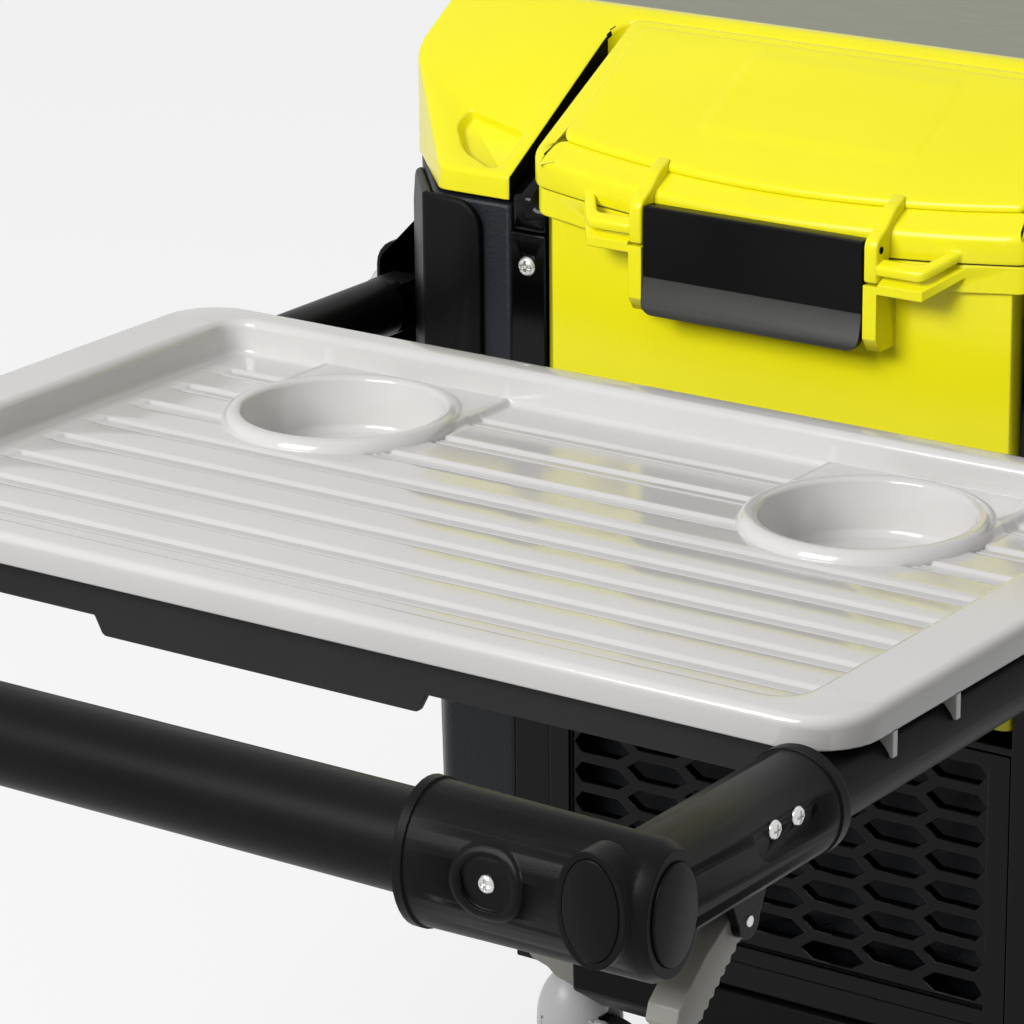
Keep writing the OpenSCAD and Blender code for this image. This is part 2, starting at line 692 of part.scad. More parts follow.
// The moulded bracket around the right front corner, with the hood over the pivot
module bracket() color(black) difference() {
    union() {
        intersection() {
            upright([[bracket_x0, -bracket_t], [nose_half + 3, -bracket_t], [hood_in, nose_l - 2.6],
                     [hood_in, hood_y0 + 1], [chest_half + 0.3, hood_y0 + 1], [chest_half + 0.3, nose_l],
                     [nose_half + 0.3, 0], [bracket_x0, 0]], bracket_z0, lid_z0);
            translate([0, hood_y1, 0]) rotate([90, 0, 0]) linear_extrude(hood_y1 + 10)
                polygon(rounded([[bracket_x0, bracket_z0], [hood_in + 1, bracket_z0], [hood_in + 1, chest_top - 24],
                                 [chest_half - 10, chest_top - 2], [nose_half + 4, chest_top + 0.4],
                                 [bracket_x0, chest_top - 1]], [6, 0, 0, 12, 6, 14]));
        }
        translate([0, hood_y1, 0]) rotate([90, 0, 0]) linear_extrude(hood_y1 - hood_y0)
            polygon(rounded([[chest_half + 0.3, tube_z - 36], [hood_x1, tube_z - 36], [hood_x1, hood_top - 1],
                             [hood_in + 9, hood_top + 1.5], [hood_in, hood_top + 22], [chest_half + 0.3, hood_top + 22]],
                            [0, 4, 13, 14, 2, 0]));
    }
    translate([0, hood_y1 - hood_t, 0]) rotate([90, 0, 0]) linear_extrude(hood_y1 - hood_y0)
        polygon(rounded([[hood_in, tube_z - 60], [hood_x1 - hood_t, tube_z - 60],
                         [hood_x1 - hood_t, hood_top - hood_t], [hood_in, hood_top - hood_t]], [0, 0, 9, 5]));
    rod_x(chest_half, hood_x1 + cut, pivot_y, tube_z, pivot_r);
    for (z = bracket_screw_z) rod_y(bracket_screw_x, -bracket_t - cut, cut, z, 2);
}

module bracket_left() left_side() bracket();
module bracket_right() bracket();

module bracket_screws() color(steel) both_sides()
    for (z = bracket_screw_z) translate([bracket_screw_x, -bracket_t, z])
        rotate([90, 0, 0]) pan_screw(5, 2.8, 2, 4);

module pivot_bolts() color(steel) both_sides() {
    rod_x(chest_half - 6, hood_x1, pivot_y, tube_z, pivot_r);
    translate([hood_x1, pivot_y, tube_z]) rotate([0, 90, 0]) cylinder(r = 8.5, h = 4);
}

module hinge_lugs() color(navy) both_sides() difference() {
    union() {
        rod_x(hinge_x - lug_w / 2, hinge_x + lug_w / 2, hinge_y, hinge_z, knuckle_r);
        along_x(hinge_x - lug_w / 2, hinge_x + lug_w / 2)
            polygon([[hinge_y - knuckle_r, hinge_z], [hinge_y + knuckle_r, hinge_z],
                     [hinge_y + knuckle_r - 1.5, hinge_z - 12], [rear_at(lug_z0 + 14) + 5, lug_z0 + 14],
                     [rear_at(lug_z0) + 4, lug_z0], [rear_at(lug_z0), lug_z0],
                     [rear_at(chest_top - 2), chest_top - 2], [hinge_y - knuckle_r, chest_top - 2]]);
    }
    rod_x(hinge_x - lug_w, hinge_x + lug_w, hinge_y, hinge_z, hinge_pin_r);
}

module hinge_pins() color(steel) both_sides()
    rod_x(hinge_x - lug_w / 2 - 20, hinge_x + lug_w / 2 + 20, hinge_y, hinge_z, hinge_pin_r);

module rear_axle() color(steel)
    rod_x(-rear_wheel_x - rear_w - 3, rear_wheel_x + rear_w + 3, rear_axle_y, rear_r, axle_r);

module axle_nuts() color(steel) both_sides() {
    difference() {
        rod_x(rear_wheel_x + rear_w + 0.6, rear_wheel_x + rear_w + 5, rear_axle_y, rear_r, 10);
        rod_x(rear_wheel_x + rear_w - 1, rear_wheel_x + rear_w + 3, rear_axle_y, rear_r, axle_r);
    }
    difference() {
        rod_x(leg_x1, rear_wheel_x - 0.6, rear_axle_y, rear_r, 9);
        rod_x(leg_x0, rear_wheel_x, rear_axle_y, rear_r, axle_r);
    }
}

module caster_stems() color(steel) both_sides() translate([caster_x, caster_y, 0]) {
    translate([0, 0, 62]) cylinder(r = stem_r - 1, h = stem_z - 62);
    translate([0, 0, stem_z]) cylinder(r = stem_r, h = 12);
    translate([0, 0, 75.5]) cylinder(r = 9, h = stem_z - 75.5);
}

// The lid's outer form: plan, side profile and front view cut from one another
module lid_form(inset, z0) intersection() {
    half = chest_half + lid_over;
    upright(chest_plan(half, nose_half - 4, 0, nose_l, chest_l, inset), z0, deck_z + cut);
    along_x(-half - cut, half + cut) polygon(rounded([
        [inset, z0 - cut], [inset, lid_z0 + lid_lip - inset * 0.55], [hood_y + inset * 0.3, deck_z - inset],
        [chest_l - inset, deck_z - inset], [chest_l - inset, z0 - cut]], [0, 5, 3, 7, 0]));
    translate([0, chest_l + cut, 0]) rotate([90, 0, 0]) linear_extrude(chest_l + 2 * cut)
        polygon(rounded([[-half + inset, z0 - cut], [half - inset, z0 - cut],
                         [half - inset, deck_z - inset], [-half + inset, deck_z - inset]], [0, 0, 8, 8]));
}

module lid_notch(extra, z0, z1) {
    half = bay_half + arm_side + extra;
    upright(rounded([[-half, -20], [half, -20], [half, notch_y + extra], [-half, notch_y + extra]],
                    [0, 0, notch_r, notch_r], 8), z0, z1);
}

// Outline of the finger scoop in plan: narrow in front, widest towards the rear
function scoop_outline(extra) =
    let (y0 = scoop_y0 - extra, y1 = scoop_y0 + scoop_l + extra)
    rounded([[scoop_x0 - extra, y0 + 2], [scoop_x0 + scoop_w * 0.12, y0], [scoop_x0 + scoop_w * 0.66, y0 + scoop_l * 0.25],
             [scoop_x0 + scoop_w + extra, y0 + scoop_l * 0.72], [scoop_x0 + scoop_w * 0.95 + extra, y1],
             [scoop_x0 - extra, y0 + scoop_l * 0.72]], [4, 3, 8, 4, 4, 5]);

// The scoop's space: its floor runs flat into the sloped hood
module scoop_space(extra) intersection() {
    upright(scoop_outline(extra), lid_z0, deck_z);
    translate([0, 0, -scoop_depth - extra]) along_x(100, chest_half)
        polygon([[-10, lid_z0 + lid_lip - 6.4], [hood_y, deck_z], [hood_y, deck_z + 80], [-10, deck_z + 80]]);
}

module main_lid() color(lime) difference() {
    union() {
        difference() {
            lid_form(0, lid_z0);
            difference() {
                lid_form(lid_wall, lid_z0 - cut);
                lid_notch(lid_wall, lid_z0 - 2 * cut, deck_z + cut);
                both_sides() scoop_space(2.5);
            }
        }
        both_sides() for (x = knuckle_x) {
            rod_x(x, x + knuckle_l, hinge_y, hinge_z, knuckle_r);
            along_x(x, x + knuckle_l) polygon([[chest_l - 2, lid_z0 + 0.5], [hinge_y, lid_z0 + 0.5],
                [hinge_y + knuckle_r - 0.5, hinge_z + 3], [chest_l - 1, lid_z0 + 34]]);
        }
    }
    lid_notch(0, lid_z0 - cut, deck_z + 2 * cut);
    both_sides() scoop_space(0);
    upright(worktop_plan(0.3), deck_z - worktop_t - 0.5, deck_z + cut);
    both_sides() rod_x(hinge_x - lug_w, hinge_x + lug_w, hinge_y, hinge_z, hinge_pin_r + run_fit);
}
function worktop_plan(extra) = round_box(
    -chest_half + worktop_border - extra, chest_half - worktop_border + extra,
    hood_y + 2 - extra, chest_l - worktop_border + extra, 14);

module worktop() color(deck_grey) upright(worktop_plan(0), deck_z - worktop_t - 0.5, deck_z - 0.5);

function plug_plan(extra) = round_box(
    -liner_half + liner_wall + plug_gap - extra, liner_half - liner_wall - plug_gap + extra,
    liner_front + liner_wall + plug_gap - extra, liner_rear - liner_wall - plug_gap + extra, 26);

// White inner pan that closes the lid's underside and plugs into the liner
module lid_liner() color(white) difference() {
    union() {
        difference() {
            upright(chest_plan(chest_half + lid_over, nose_half - 4, 0, nose_l, chest_l, lid_wall + 0.3),
                    lid_z0, lid_z0 + 3);
            lid_notch(lid_wall + 0.3, lid_z0 - cut, lid_z0 + 4);
        }
        upright(plug_plan(0), chest_top - plug_h, lid_z0 + 1);
    }
    upright(plug_plan(-3), chest_top - plug_h + 3, lid_z0 + 4);
    both_sides() scoop_space(2.5 + seat_gap);
}

module lid_gasket() color(rubber) difference() {
    upright(plug_plan(19), chest_top + seat_gap, lid_z0);
    upright(plug_plan(11), chest_top - cut, lid_z0 + cut);
}

function wall_plan(inset) =
    bow_plan(bin_half - inset, wall_corner_y + inset, bin_bow - 5, bin_rear - inset, bin_corner_r - 4 - inset);
function rim_plan(inset) =
    bow_plan(rim_half - inset, rim_corner_y + inset, bin_bow, bin_rear - inset, bin_corner_r - inset);
function lid_plan(inset) =
    bow_plan(bin_lid_half - inset, lid_corner_y + inset, bin_bow - 0.5, bin_rear - inset,
             max(bin_corner_r + 1 - inset, 3));

// Strap of a carry loop in plan, from the ear round the corner to the rim
function loop_plan() = [
    [ear_x1 - 1, loop_front], [loop_x, loop_front], [loop_x + 17, 1], [loop_x + 11, 1],
    [loop_x - 2.5, loop_front + loop_t], [ear_x1 - 1, loop_front + loop_t]];

module bin() color(lime) difference() {
    union() {
        intersection() {
            upright(wall_plan(0), bin_z0, chest_top + 120);
            sloped_slab(bin_z0 - 100, rim_z1);
        }
        intersection() {
            upright(rim_plan(0), bin_z0, chest_top + 120);
            sloped_slab(rim_z0, rim_z1);
        }
        both_sides() {
            along_x(ear_x0, ear_x1) polygon([[-4, ear_seam - 0.6], [ear_front, ear_seam - 0.6],
                [ear_front, latch_z0 + 6], [ear_front + 4, latch_z0], [-4, latch_z0]]);
            difference() {
                intersection() {
                    upright(loop_plan(), rim_z0 - 30, rim_z1 + 10);
                    sloped_slab(rim_z0 + 6.5, rim_z0 + 11);
                }
                box(0, ear_x1 + 0.4, ear_front - cut, 0, ear_seam - 0.6, rim_z1);
            }
            along_x(bin_lug_x - 7, bin_lug_x + 7) polygon([[bin_hinge_y - 3, bin_hinge_z - 20],
                [bin_hinge_y + 3, bin_hinge_z - 20], [bin_hinge_y + 3, bin_hinge_z], [bin_hinge_y - 3, bin_hinge_z]]);
            rod_x(bin_lug_x - 7, bin_lug_x + 7, bin_hinge_y, bin_hinge_z, 3);
        }
        box(-catch_half, catch_half, catch_y, -4, catch_z, catch_z + catch_t);
    }
    intersection() {
        upright(wall_plan(bin_wall), bin_z0 + bin_wall, chest_top + 120);
        union() {
            box(-200, 200, -60, bin_hinge_y - 3, 0, 700);
            sloped_slab(bin_z0 - 100, rim_z1 - 6);
        }
    }
    both_sides() rod_x(bin_lug_x - 12, bin_lug_x + 12, bin_hinge_y, bin_hinge_z, bin_pin_r);
}

module bin_hinge_pins() color(steel) both_sides()
    rod_x(bin_lug_x - 13, bin_lug_x + 13, bin_hinge_y, bin_hinge_z, bin_pin_r);

module bin_lid() color(lime) difference() {
    union() {
        difference() {
            union() {
                intersection() {
                    upright(lid_plan(0), rim_z0 - 60, deck_z + 60);
                    sloped_slab(lid_rim_z0, lid_rim_z1);
                }
                intersection() {
                    upright(lid_plan(11), rim_z0 - 60, deck_z + 60);
                    sloped_slab(lid_rim_z1 - 1, lid_rim_z1 + bin_panel_h);
                }
            }
            intersection() {
                upright(lid_plan(3), rim_z0 - 60, deck_z + 60);
                sloped_slab(lid_rim_z0 - 2, lid_rim_z1 - 3);
            }
            intersection() {
                upright(lid_plan(14), rim_z0 - 60, deck_z + 60);
                sloped_slab(lid_rim_z1 - 4, lid_rim_z1 + bin_panel_h - 3);
            }
        }
        both_sides() {
            for (x = [bin_lug_x - 14, bin_lug_x + 7.4]) intersection() {
                box(x, x + 6.6, bin_hinge_y - 4, bin_rear, bin_hinge_z - 4, deck_z);
                sloped_slab(lid_rim_z0, lid_rim_z1);
            }
            along_x(ear_x0, ear_x1) polygon([[-10.4, ear_seam + 0.6], [ear_front, ear_seam + 0.6],
                [ear_front, latch_pin_z + 2], [ear_front + 2, latch_pin_z + 4], [-13, latch_pin_z + 8],
                [-7, lid_rim_z1 + 2], [3, lid_rim_z1 + 5], [3, lid_rim_z1 - 3], [-8, lid_rim_z0 - 0.4],
                [-10.4, lid_rim_z0 - 3]]);
            intersection() {
                upright(loop_plan(), rim_z0 - 30, rim_z1 + 30);
                sloped_slab(lid_rim_z0 + 0.8, lid_rim_z0 + 5.4);
            }
        }
    }
    both_sides() {
        box(bin_lug_x - 7.4, bin_lug_x + 7.4, bin_hinge_y - 3.6, bin_rear + cut, bin_hinge_z - 30, bin_hinge_z + 3.4);
        rod_x(bin_lug_x - 13.2, bin_lug_x + 13.2, bin_hinge_y, bin_hinge_z, bin_pin_r + run_fit);
        rod_x(latch_half - 2, ear_x1 + 2, latch_pin_y, latch_pin_z, latch_pin_r);
    }
}

module bin_gasket() color(rubber) difference() {
    intersection() {
        upright(lid_plan(1.6), rim_z0 - 60, deck_z + 60);
        sloped_slab(rim_z1 + seat_gap, lid_rim_z0);
    }
    upright(lid_plan(2.9), rim_z0 - 80, deck_z + 80);
    both_sides() box(bin_lug_x - 7.6, bin_lug_x + 7.6, bin_hinge_y - 4, bin_rear + cut, rim_z0, deck_z);
}

module latch_pins() color(steel) both_sides()
    rod_x(latch_half - 6, ear_x1, latch_pin_y, latch_pin_z, latch_pin_r);

// The hook's sloped face under the catch lets the latch give way when the lid is forced up
function hook_y(z) = catch_y - 0.5 - (z - catch_z + 0.3) / hook_slope;

// Latch with a rolled top, a flared lower lip and a hook that reaches under the bin's catch
module bin_latch() color(black) difference() {
    union() {
        rod_x(-latch_half, latch_half, latch_pin_y, latch_pin_z, 3.4);
        along_x(-latch_half, latch_half) polygon([
            [latch_pin_y - 3.2, latch_pin_z], [latch_pin_y - 3.2, latch_z0 + 15], [latch_pin_y - 6, latch_z0 + 3],
            [latch_pin_y - 5, latch_z0], [latch_pin_y - 2.6, latch_z0 + 0.6], [latch_pin_y + latch_t - 3.2, latch_z0 + 14],
            [latch_pin_y + latch_t - 3.2, latch_pin_z]]);
        along_x(-catch_half + 2, catch_half - 2) polygon([[latch_pin_y, catch_z + 2], [hook_y(catch_z + 2), catch_z + 2],
            [hook_tip_y, hook_tip_z], [hook_tip_y, hook_tip_z - 2.2], [latch_pin_y, hook_tip_z - 2.2]]);
    }
    both_sides() rod_x(latch_half - 6.5, latch_half + 2, latch_pin_y, latch_pin_z, latch_pin_r + run_fit);
    both_sides() translate([latch_half, 0, latch_z0]) rotate([0, 45, 0]) cube([5, 90, 5], center = true);
}

module crossbar() color(black) difference() {
    rod_x(-corner_x0 - 44, corner_x0 + 44, crossbar_y, tube_z, crossbar_r);
    rod_x(-corner_x0 - 50, corner_x0 + 50, crossbar_y, tube_z, crossbar_r - tube_wall);
    for (x = [-front_screw_x, front_screw_x]) rod_y(x, crossbar_y - 30, crossbar_y, front_screw_z, 1.7);
}

module side_tube() color(black) difference() {
    rod_y(tube_x, crossbar_y + 20, eye_y0, tube_z, tube_r);
    rod_y(tube_x, crossbar_y + 10, eye_y0 + cut, tube_z, tube_r - tube_wall);
}
module side_tube_left() left_side() side_tube();
module side_tube_right() side_tube();

module oval(x, size, h) translate([x, crossbar_y, oval_z]) rotate([0, 90, 0])
    linear_extrude(h) polygon(ellipse(size[1], size[0]));

module oblong_x(x0, x1, y0, y1, z, r) {
    rod_x(x0, x1, y0, z, r);
    rod_x(x0, x1, y1, z, r);
    box(x0, x1, y0, y1, z - r, z + r);
}

// Moulded corner between crossbar and side tube, with the trigger's ears below its sleeve
module corner() color(black) difference() {
    union() {
        hull() {
            oval(corner_x0, oval_in, 0.1);
            oval(corner_x1 - 5, oval_out, 0.1);
            oval(corner_x1 - 0.1, oval_out - [5, 5], 0.1);
        }
        oval(corner_x0 - 1.5, oval_in + [2 * bead, 2 * bead], 4);
        rod_y(tube_x, crossbar_y, sleeve_y, tube_z, sleeve_r);
        rod_y(tube_x, sleeve_y - 5, sleeve_y, tube_z, sleeve_r + 0.7);
        for (x = [tube_x - trigger_w / 2 - 3.75, tube_x + trigger_w / 2 + 0.25]) {
            rod_x(x, x + 3.5, trigger_y, trigger_z, 6.5);
            along_x(x, x + 3.5) polygon([[trigger_y - 6.5, trigger_z], [trigger_y + 6.5, trigger_z],
                [trigger_y + 13, tube_z - 12], [trigger_y - 13, tube_z - 12]]);
        }
        translate([badge_x, badge_front + 12, badge_z]) rotate([90, 0, 0])
            linear_extrude(12) polygon(ellipse(28, 42));
    }
    rod_x(corner_x0 - 3, corner_x0 + 44, crossbar_y, tube_z, crossbar_r);
    rod_y(tube_x, crossbar_y + 20, sleeve_y + cut, tube_z, tube_r);
    oblong_y(front_screw_x - 1.6, front_screw_x + 1.6, front_screw_z, 12, crossbar_y - 30, front_recess_y);
    rod_y(front_screw_x, front_recess_y - cut, front_recess_y + 3, front_screw_z, 1.7);
    oblong_x(side_recess_x, side_recess_x + 9, trigger_y - 1, trigger_y + 23, tube_z + 7, 8.5);
    for (y = side_screw_y) rod_x(side_recess_x - 2, side_recess_x + cut, y, tube_z + 7.9, 1.7);
    rod_x(tube_x - 20, tube_x + 20, trigger_y, trigger_z, trigger_pin_r);
    oval(corner_x1 - 2, oval_out - [10.4, 13.2], 4);
    translate([badge_x, badge_front + 1, badge_z]) rotate([90, 0, 0])
        linear_extrude(3) polygon(ellipse(23, 37));
}

module oblong_y(x0, x1, z, r, y0, y1) {
    rod_y(x0, y0, y1, z, r);
    rod_y(x1, y0, y1, z, r);
    box(x0, x1, y0, y1, z - r, z + r);
}
module corner_left() left_side() corner();
module corner_right() corner();

module end_caps() color(black) both_sides() oval(corner_x1 - 2, oval_out - [10.8, 13.6], 3.2);

module corner_covers() color(black) both_sides() translate([badge_x, badge_front + 1, badge_z])
    rotate([90, 0, 0]) linear_extrude(1.4) polygon(ellipse(22.6, 36.6));

module corner_screws() color(steel) both_sides() translate([front_screw_x, front_recess_y, front_screw_z])
    rotate([90, 0, 0]) pan_screw(3.4, 1.6, 1.7, 3);

module sleeve_screws() color(steel) both_sides() for (y = side_screw_y)
    translate([side_recess_x, y, tube_z + 7.9]) rotate([0, 90, 0]) pan_screw(3.6, 2, 1.7, 2);

// Eye that plugs into the rear end of a side tube and turns on the pivot bolt
module tube_eye() color(black) difference() {
    union() {
        rod_x(eye_x0, eye_x1, pivot_y, tube_z, eye_r);
        box(eye_x0, eye_x1, eye_y0 + 4, pivot_y, tube_z - neck_h, tube_z + neck_h);
        intersection() {
            rod_y(tube_x, eye_y0, eye_y0 + 6, tube_z, tube_r);
            box(eye_x0 - 1, tube_x + tube_r, eye_y0, eye_y0 + 6, tube_z - eye_r, tube_z + eye_r);
        }
        rod_y(tube_x, eye_y0 - 30, eye_y0 + 1, tube_z, tube_r - tube_wall);
    }
    rod_x(eye_x0 - 5, eye_x1 + 5, pivot_y, tube_z, pivot_r + run_fit);
}
module tube_eye_left() left_side() tube_eye();
module tube_eye_right() tube_eye();

// Folded plate between the side tubes that carries the tray
module support_plate() color(black) difference() {
    union() {
        box(-plate_half, plate_half, apron_y, tray_y1 - 12, plate_z0, plate_z1);
        box(-tube_x + tube_r + 0.6, tube_x - tube_r - 0.6, apron_y, apron_y + plate_t, apron_z, tray_floor + 6);
        translate([0, apron_y + plate_t, 0]) rotate([90, 0, 0]) linear_extrude(plate_t)
            polygon(rounded([[-tab_half, apron_z + 4], [-tab_half, apron_z - 0.01], [-tab_half + 4, tab_z],
                             [tab_half - 4, tab_z], [tab_half, apron_z - 0.01], [tab_half, apron_z + 4]],
                            [0, 0, 3, 3, 0, 0]));
        box(-tube_x + tube_r + 0.6, tube_x - tube_r - 0.6, tray_y1 - 15, tray_y1 - 12, tab_z, plate_z1);
        both_sides() for (y = cradle_y) intersection() {
            difference() {
                rod_y(tube_x, y, y + cradle_l, tube_z, tube_r + plate_t);
                rod_y(tube_x, y - cut, y + cradle_l + cut, tube_z, tube_r);
            }
            box(tube_x - tube_r - plate_t - cut, tube_x - 9, y, y + cradle_l, tube_z - tube_r, plate_z1);
        }
    }
    both_sides() translate([cup_x, cup_y, plate_z0 - cut]) cylinder(r = cup_r + cup_wall + 3, h = 20);
}

module plate_screws() color(steel) both_sides() for (y = cradle_y)
    translate([tube_x - tube_r - plate_t, y + cradle_l / 2, tube_z]) rotate([0, -90, 0]) pan_screw(3.2, 1.8, 0, 0);

module trigger_pins() color(steel) both_sides()
    rod_x(tube_x - trigger_w / 2 - 4.2, tube_x + trigger_w / 2 + 4.2, trigger_y, trigger_z, trigger_pin_r);

// Zigzag points from p to q that cut teeth into the trigger's rear edge
function teeth(p, q, count, depth) =
    let (step = (q - p) / count, side = [-unit(q - p)[1], unit(q - p)[0]] * depth)
    [for (i = [0:count - 1]) each [p + step * i, p + step * (i + 0.5) + side]];

function trigger_outline() = concat(
    [[-5, 3], [-21, -6], [-38, -20], [-40, -26], [-36, -30], [-28, -30]],
    teeth([-26, -29], [5, -3], 9, -1.6), [[5, -3], [3, 5]]);

module trigger() color(lever_grey) translate([tube_x, trigger_y, trigger_z]) difference() {
    union() {
        difference() {
            along_x(-trigger_w / 2, trigger_w / 2) polygon(trigger_outline());
            along_x(-trigger_w / 2 + 2, trigger_w / 2 - 2)
                polygon([[-3, -1], [-20, -10], [-34, -22], [-30, -34], [10, -12], [8, -4]]);
        }
        rod_x(-trigger_w / 2, trigger_w / 2, 0, 0, 5.4);
    }
    rod_x(-trigger_w, trigger_w, 0, 0, trigger_pin_r + run_fit);
}
module trigger_left() left_side() trigger();
module trigger_right() trigger();

// Drain groove with run-out ends, sunk into the tray's floor
module groove(y) translate([0, y, tray_floor + groove_arc - groove_d]) {
    rod_x(-groove_x + groove_w / 2, groove_x - groove_w / 2, 0, 0, groove_arc);
    both_sides() translate([groove_x - groove_w / 2, 0, 0]) sphere(r = groove_arc);
}

module tray() color(tray_grey) difference() {
    union() {
        difference() {
            union() {
                difference() {
                    upright(round_box(-tray_half, tray_half, tray_y0, tray_y1, tray_r), tray_floor + tray_t, tray_top);
                    upright(round_box(-tray_half + tray_t, tray_half - tray_t, tray_y0 + tray_t, tray_y1 - tray_t,
                                      tray_r - tray_t), tray_floor, tray_top - tray_t);
                }
                upright(round_box(-well_half - tray_t, well_half + tray_t, well_y0 - tray_t, well_y1 + tray_t, 15),
                        tray_under, tray_top - cut);
                both_sides() for (y = saddle_y)
                    box(plate_half + 0.4, tray_half - 1, y, y + tray_t, tube_z + 6, tray_top - 1);
            }
            upright(round_box(-well_half, well_half, well_y0, well_y1, 12), tray_floor, tray_top + cut);
            for (i = [0:groove_n - 1]) groove(groove_y0 + i * groove_step);
            both_sides() rod_y(tube_x, tray_y0, tray_y1, tube_z, tube_r + seat_gap);
            both_sides() box(tube_x + tube_r + seat_gap, tray_half + cut, tray_y0, tray_y1, 0, tray_floor + tray_t);
            both_sides() box(tube_x - tube_r, tube_x + tube_r, tray_y0, tray_y1, 0, tube_z + 5);
        }
        both_sides() translate([cup_x, cup_y, 0]) {
            translate([0, 0, tray_floor - cup_depth - cup_wall])
                cylinder(r = cup_r + cup_wall, h = cup_depth + cup_wall);
            translate([0, 0, tray_under]) rotate_extrude() polygon([
                [0, 0], [cup_r + cup_ring_w, 0], [cup_r + cup_ring_w, tray_floor_t + 0.4],
                [cup_r + cup_ring_w * 0.75, tray_floor_t + cup_ring_h * 0.8],
                [cup_r + cup_ring_w * 0.5, tray_floor_t + cup_ring_h],
                [cup_r + cup_ring_w * 0.2, tray_floor_t + cup_ring_h], [0, tray_floor_t + cup_ring_h * 0.8]]);
        }
        both_sides() box(cup_x - pad_half, cup_x + pad_half, cup_y, well_y1 + cut, tray_under, tray_floor + pad_h);
    }
    both_sides() translate([cup_x, cup_y, tray_floor - cup_depth]) cylinder(r = cup_r, h = cup_depth + 20);
}

module caster_fork() color(pale_grey) difference() {
    union() {
        rotate_extrude() polygon(concat([[0, 32], [hood_r, 32]],
            [for (t = [0:9:72]) [hood_r * cos(t), 48 + 27.2 * sin(t)]], [[5, 75.2], [0, 75.2]]));
        both_sides() along_x(fork_gap / 2, fork_gap / 2 + 4.5)
            polygon(rounded([[-hood_r + 5, 52], [-hood_r + 5, 34], [caster_trail - 8, caster_r - 8],
                [caster_trail + 8, caster_r - 8], [caster_trail + 8, 52]], [0, 4, 6, 6, 6]));
    }
    rod_x(-fork_gap / 2, fork_gap / 2, caster_trail, caster_r, caster_r + 3);
    rod_x(-30, 30, caster_trail, caster_r, caster_axle_r);
    translate([0, 0, 60]) cylinder(r = stem_r - 1 + run_fit, h = 20);
}

module at_caster() translate([caster_x, caster_y, 0]) rotate(caster_yaw) children();
module at_left_caster() translate([-caster_x, caster_y, 0]) rotate(caster_yaw) children();

module caster_fork_left() at_left_caster() caster_fork();
module caster_fork_right() at_caster() caster_fork();

module caster_axle() color(steel) rod_x(-fork_gap / 2 - 5.5, fork_gap / 2 + 5.5, caster_trail, caster_r, caster_axle_r);
module caster_axle_left() at_left_caster() caster_axle();
module caster_axle_right() at_caster() caster_axle();

module caster_wheel() color(rubber) translate([-caster_w / 2, caster_trail, caster_r]) rotate([0, 90, 0])
    rotate_extrude() polygon(rounded([[caster_axle_r + run_fit, 0], [caster_r * 0.45, 0], [caster_r * 0.5, 1.5],
        [caster_r * 0.8, 1.5], [caster_r, 0], [caster_r, caster_w], [caster_r * 0.8, caster_w - 1.5],
        [caster_r * 0.5, caster_w - 1.5], [caster_r * 0.45, caster_w], [caster_axle_r + run_fit, caster_w]],
        [0, 0, 0, 0, 4, 4, 0, 0, 0, 0], 4));
module caster_wheel_left() at_left_caster() caster_wheel();
module caster_wheel_right() at_caster() caster_wheel();

module rear_tyre() color(rubber) translate([rear_wheel_x, rear_axle_y, rear_r]) rotate([0, 90, 0])
    rotate_extrude($fn = 72) polygon(rounded([[rim_r, 2], [rear_r - 4, 0], [rear_r, 5], [rear_r, rear_w - 5],
        [rear_r - 4, rear_w], [rim_r, rear_w - 2]], [0, 4, 4, 4, 4, 0], 4));
module rear_tyre_left() left_side() rear_tyre();
module rear_tyre_right() rear_tyre();

module rear_hub() color(black) translate([rear_wheel_x, rear_axle_y, rear_r]) rotate([0, 90, 0]) difference() {
    union() {
        cylinder(r = 13, h = rear_w);
        translate([0, 0, rear_w / 2 - 4]) cylinder(r = rim_r, h = 8);
        difference() {
            translate([0, 0, 3]) cylinder(r = rim_r, h = rear_w - 6);
            translate([0, 0, 2]) cylinder(r = rim_r - 4, h = rear_w - 4);
        }
    }
    translate([0, 0, -cut]) cylinder(r = axle_r + run_fit, h = rear_w + 2 * cut);
    for (a = [0:60:300]) rotate(a) translate([rim_r * 0.58, 0, 0]) cylinder(r = rim_r * 0.2, h = rear_w);
}
module rear_hub_left() left_side() rear_hub();
module rear_hub_right() rear_hub();

placed() chest_shell();
placed() insulation();
placed() ice_liner();
placed() bin_bay();
placed() bay_rails();
placed() post_screws();
placed() grille();
placed() front_bumper();
placed() skid_band();
placed() base_frame();
placed() bracket_left();
placed() bracket_right();
placed() bracket_screws();
placed() pivot_bolts();
placed() hinge_lugs();
placed() hinge_pins();
placed() drain_spout();
placed() drain_cap();
placed() rear_axle();
placed() axle_nuts();
placed() caster_stems();
placed() main_lid();
placed() worktop();
placed() lid_liner();
placed() lid_gasket();
placed() bin();
placed() bin_hinge_pins();
placed() bin_lid();
placed() bin_gasket();
placed() latch_pins();
placed() bin_latch();
placed() crossbar();
placed() side_tube_left();
placed() side_tube_right();
placed() corner_left();
placed() corner_right();
placed() end_caps();
placed() corner_covers();
placed() corner_screws();
placed() sleeve_screws();
placed() tube_eye_left();
placed() tube_eye_right();
placed() support_plate();
placed() plate_screws();
placed() trigger_pins();
placed() trigger_left();
placed() trigger_right();
placed() tray();
placed() caster_fork_left();
placed() caster_fork_right();
placed() caster_axle_left();
placed() caster_axle_right();
placed() caster_wheel_left();
placed() caster_wheel_right();
placed() rear_tyre_left();
placed() rear_tyre_right();
placed() rear_hub_left();
placed() rear_hub_right();
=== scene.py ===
import bpy
import bmesh
import json
import math
from mathutils import Matrix, Vector


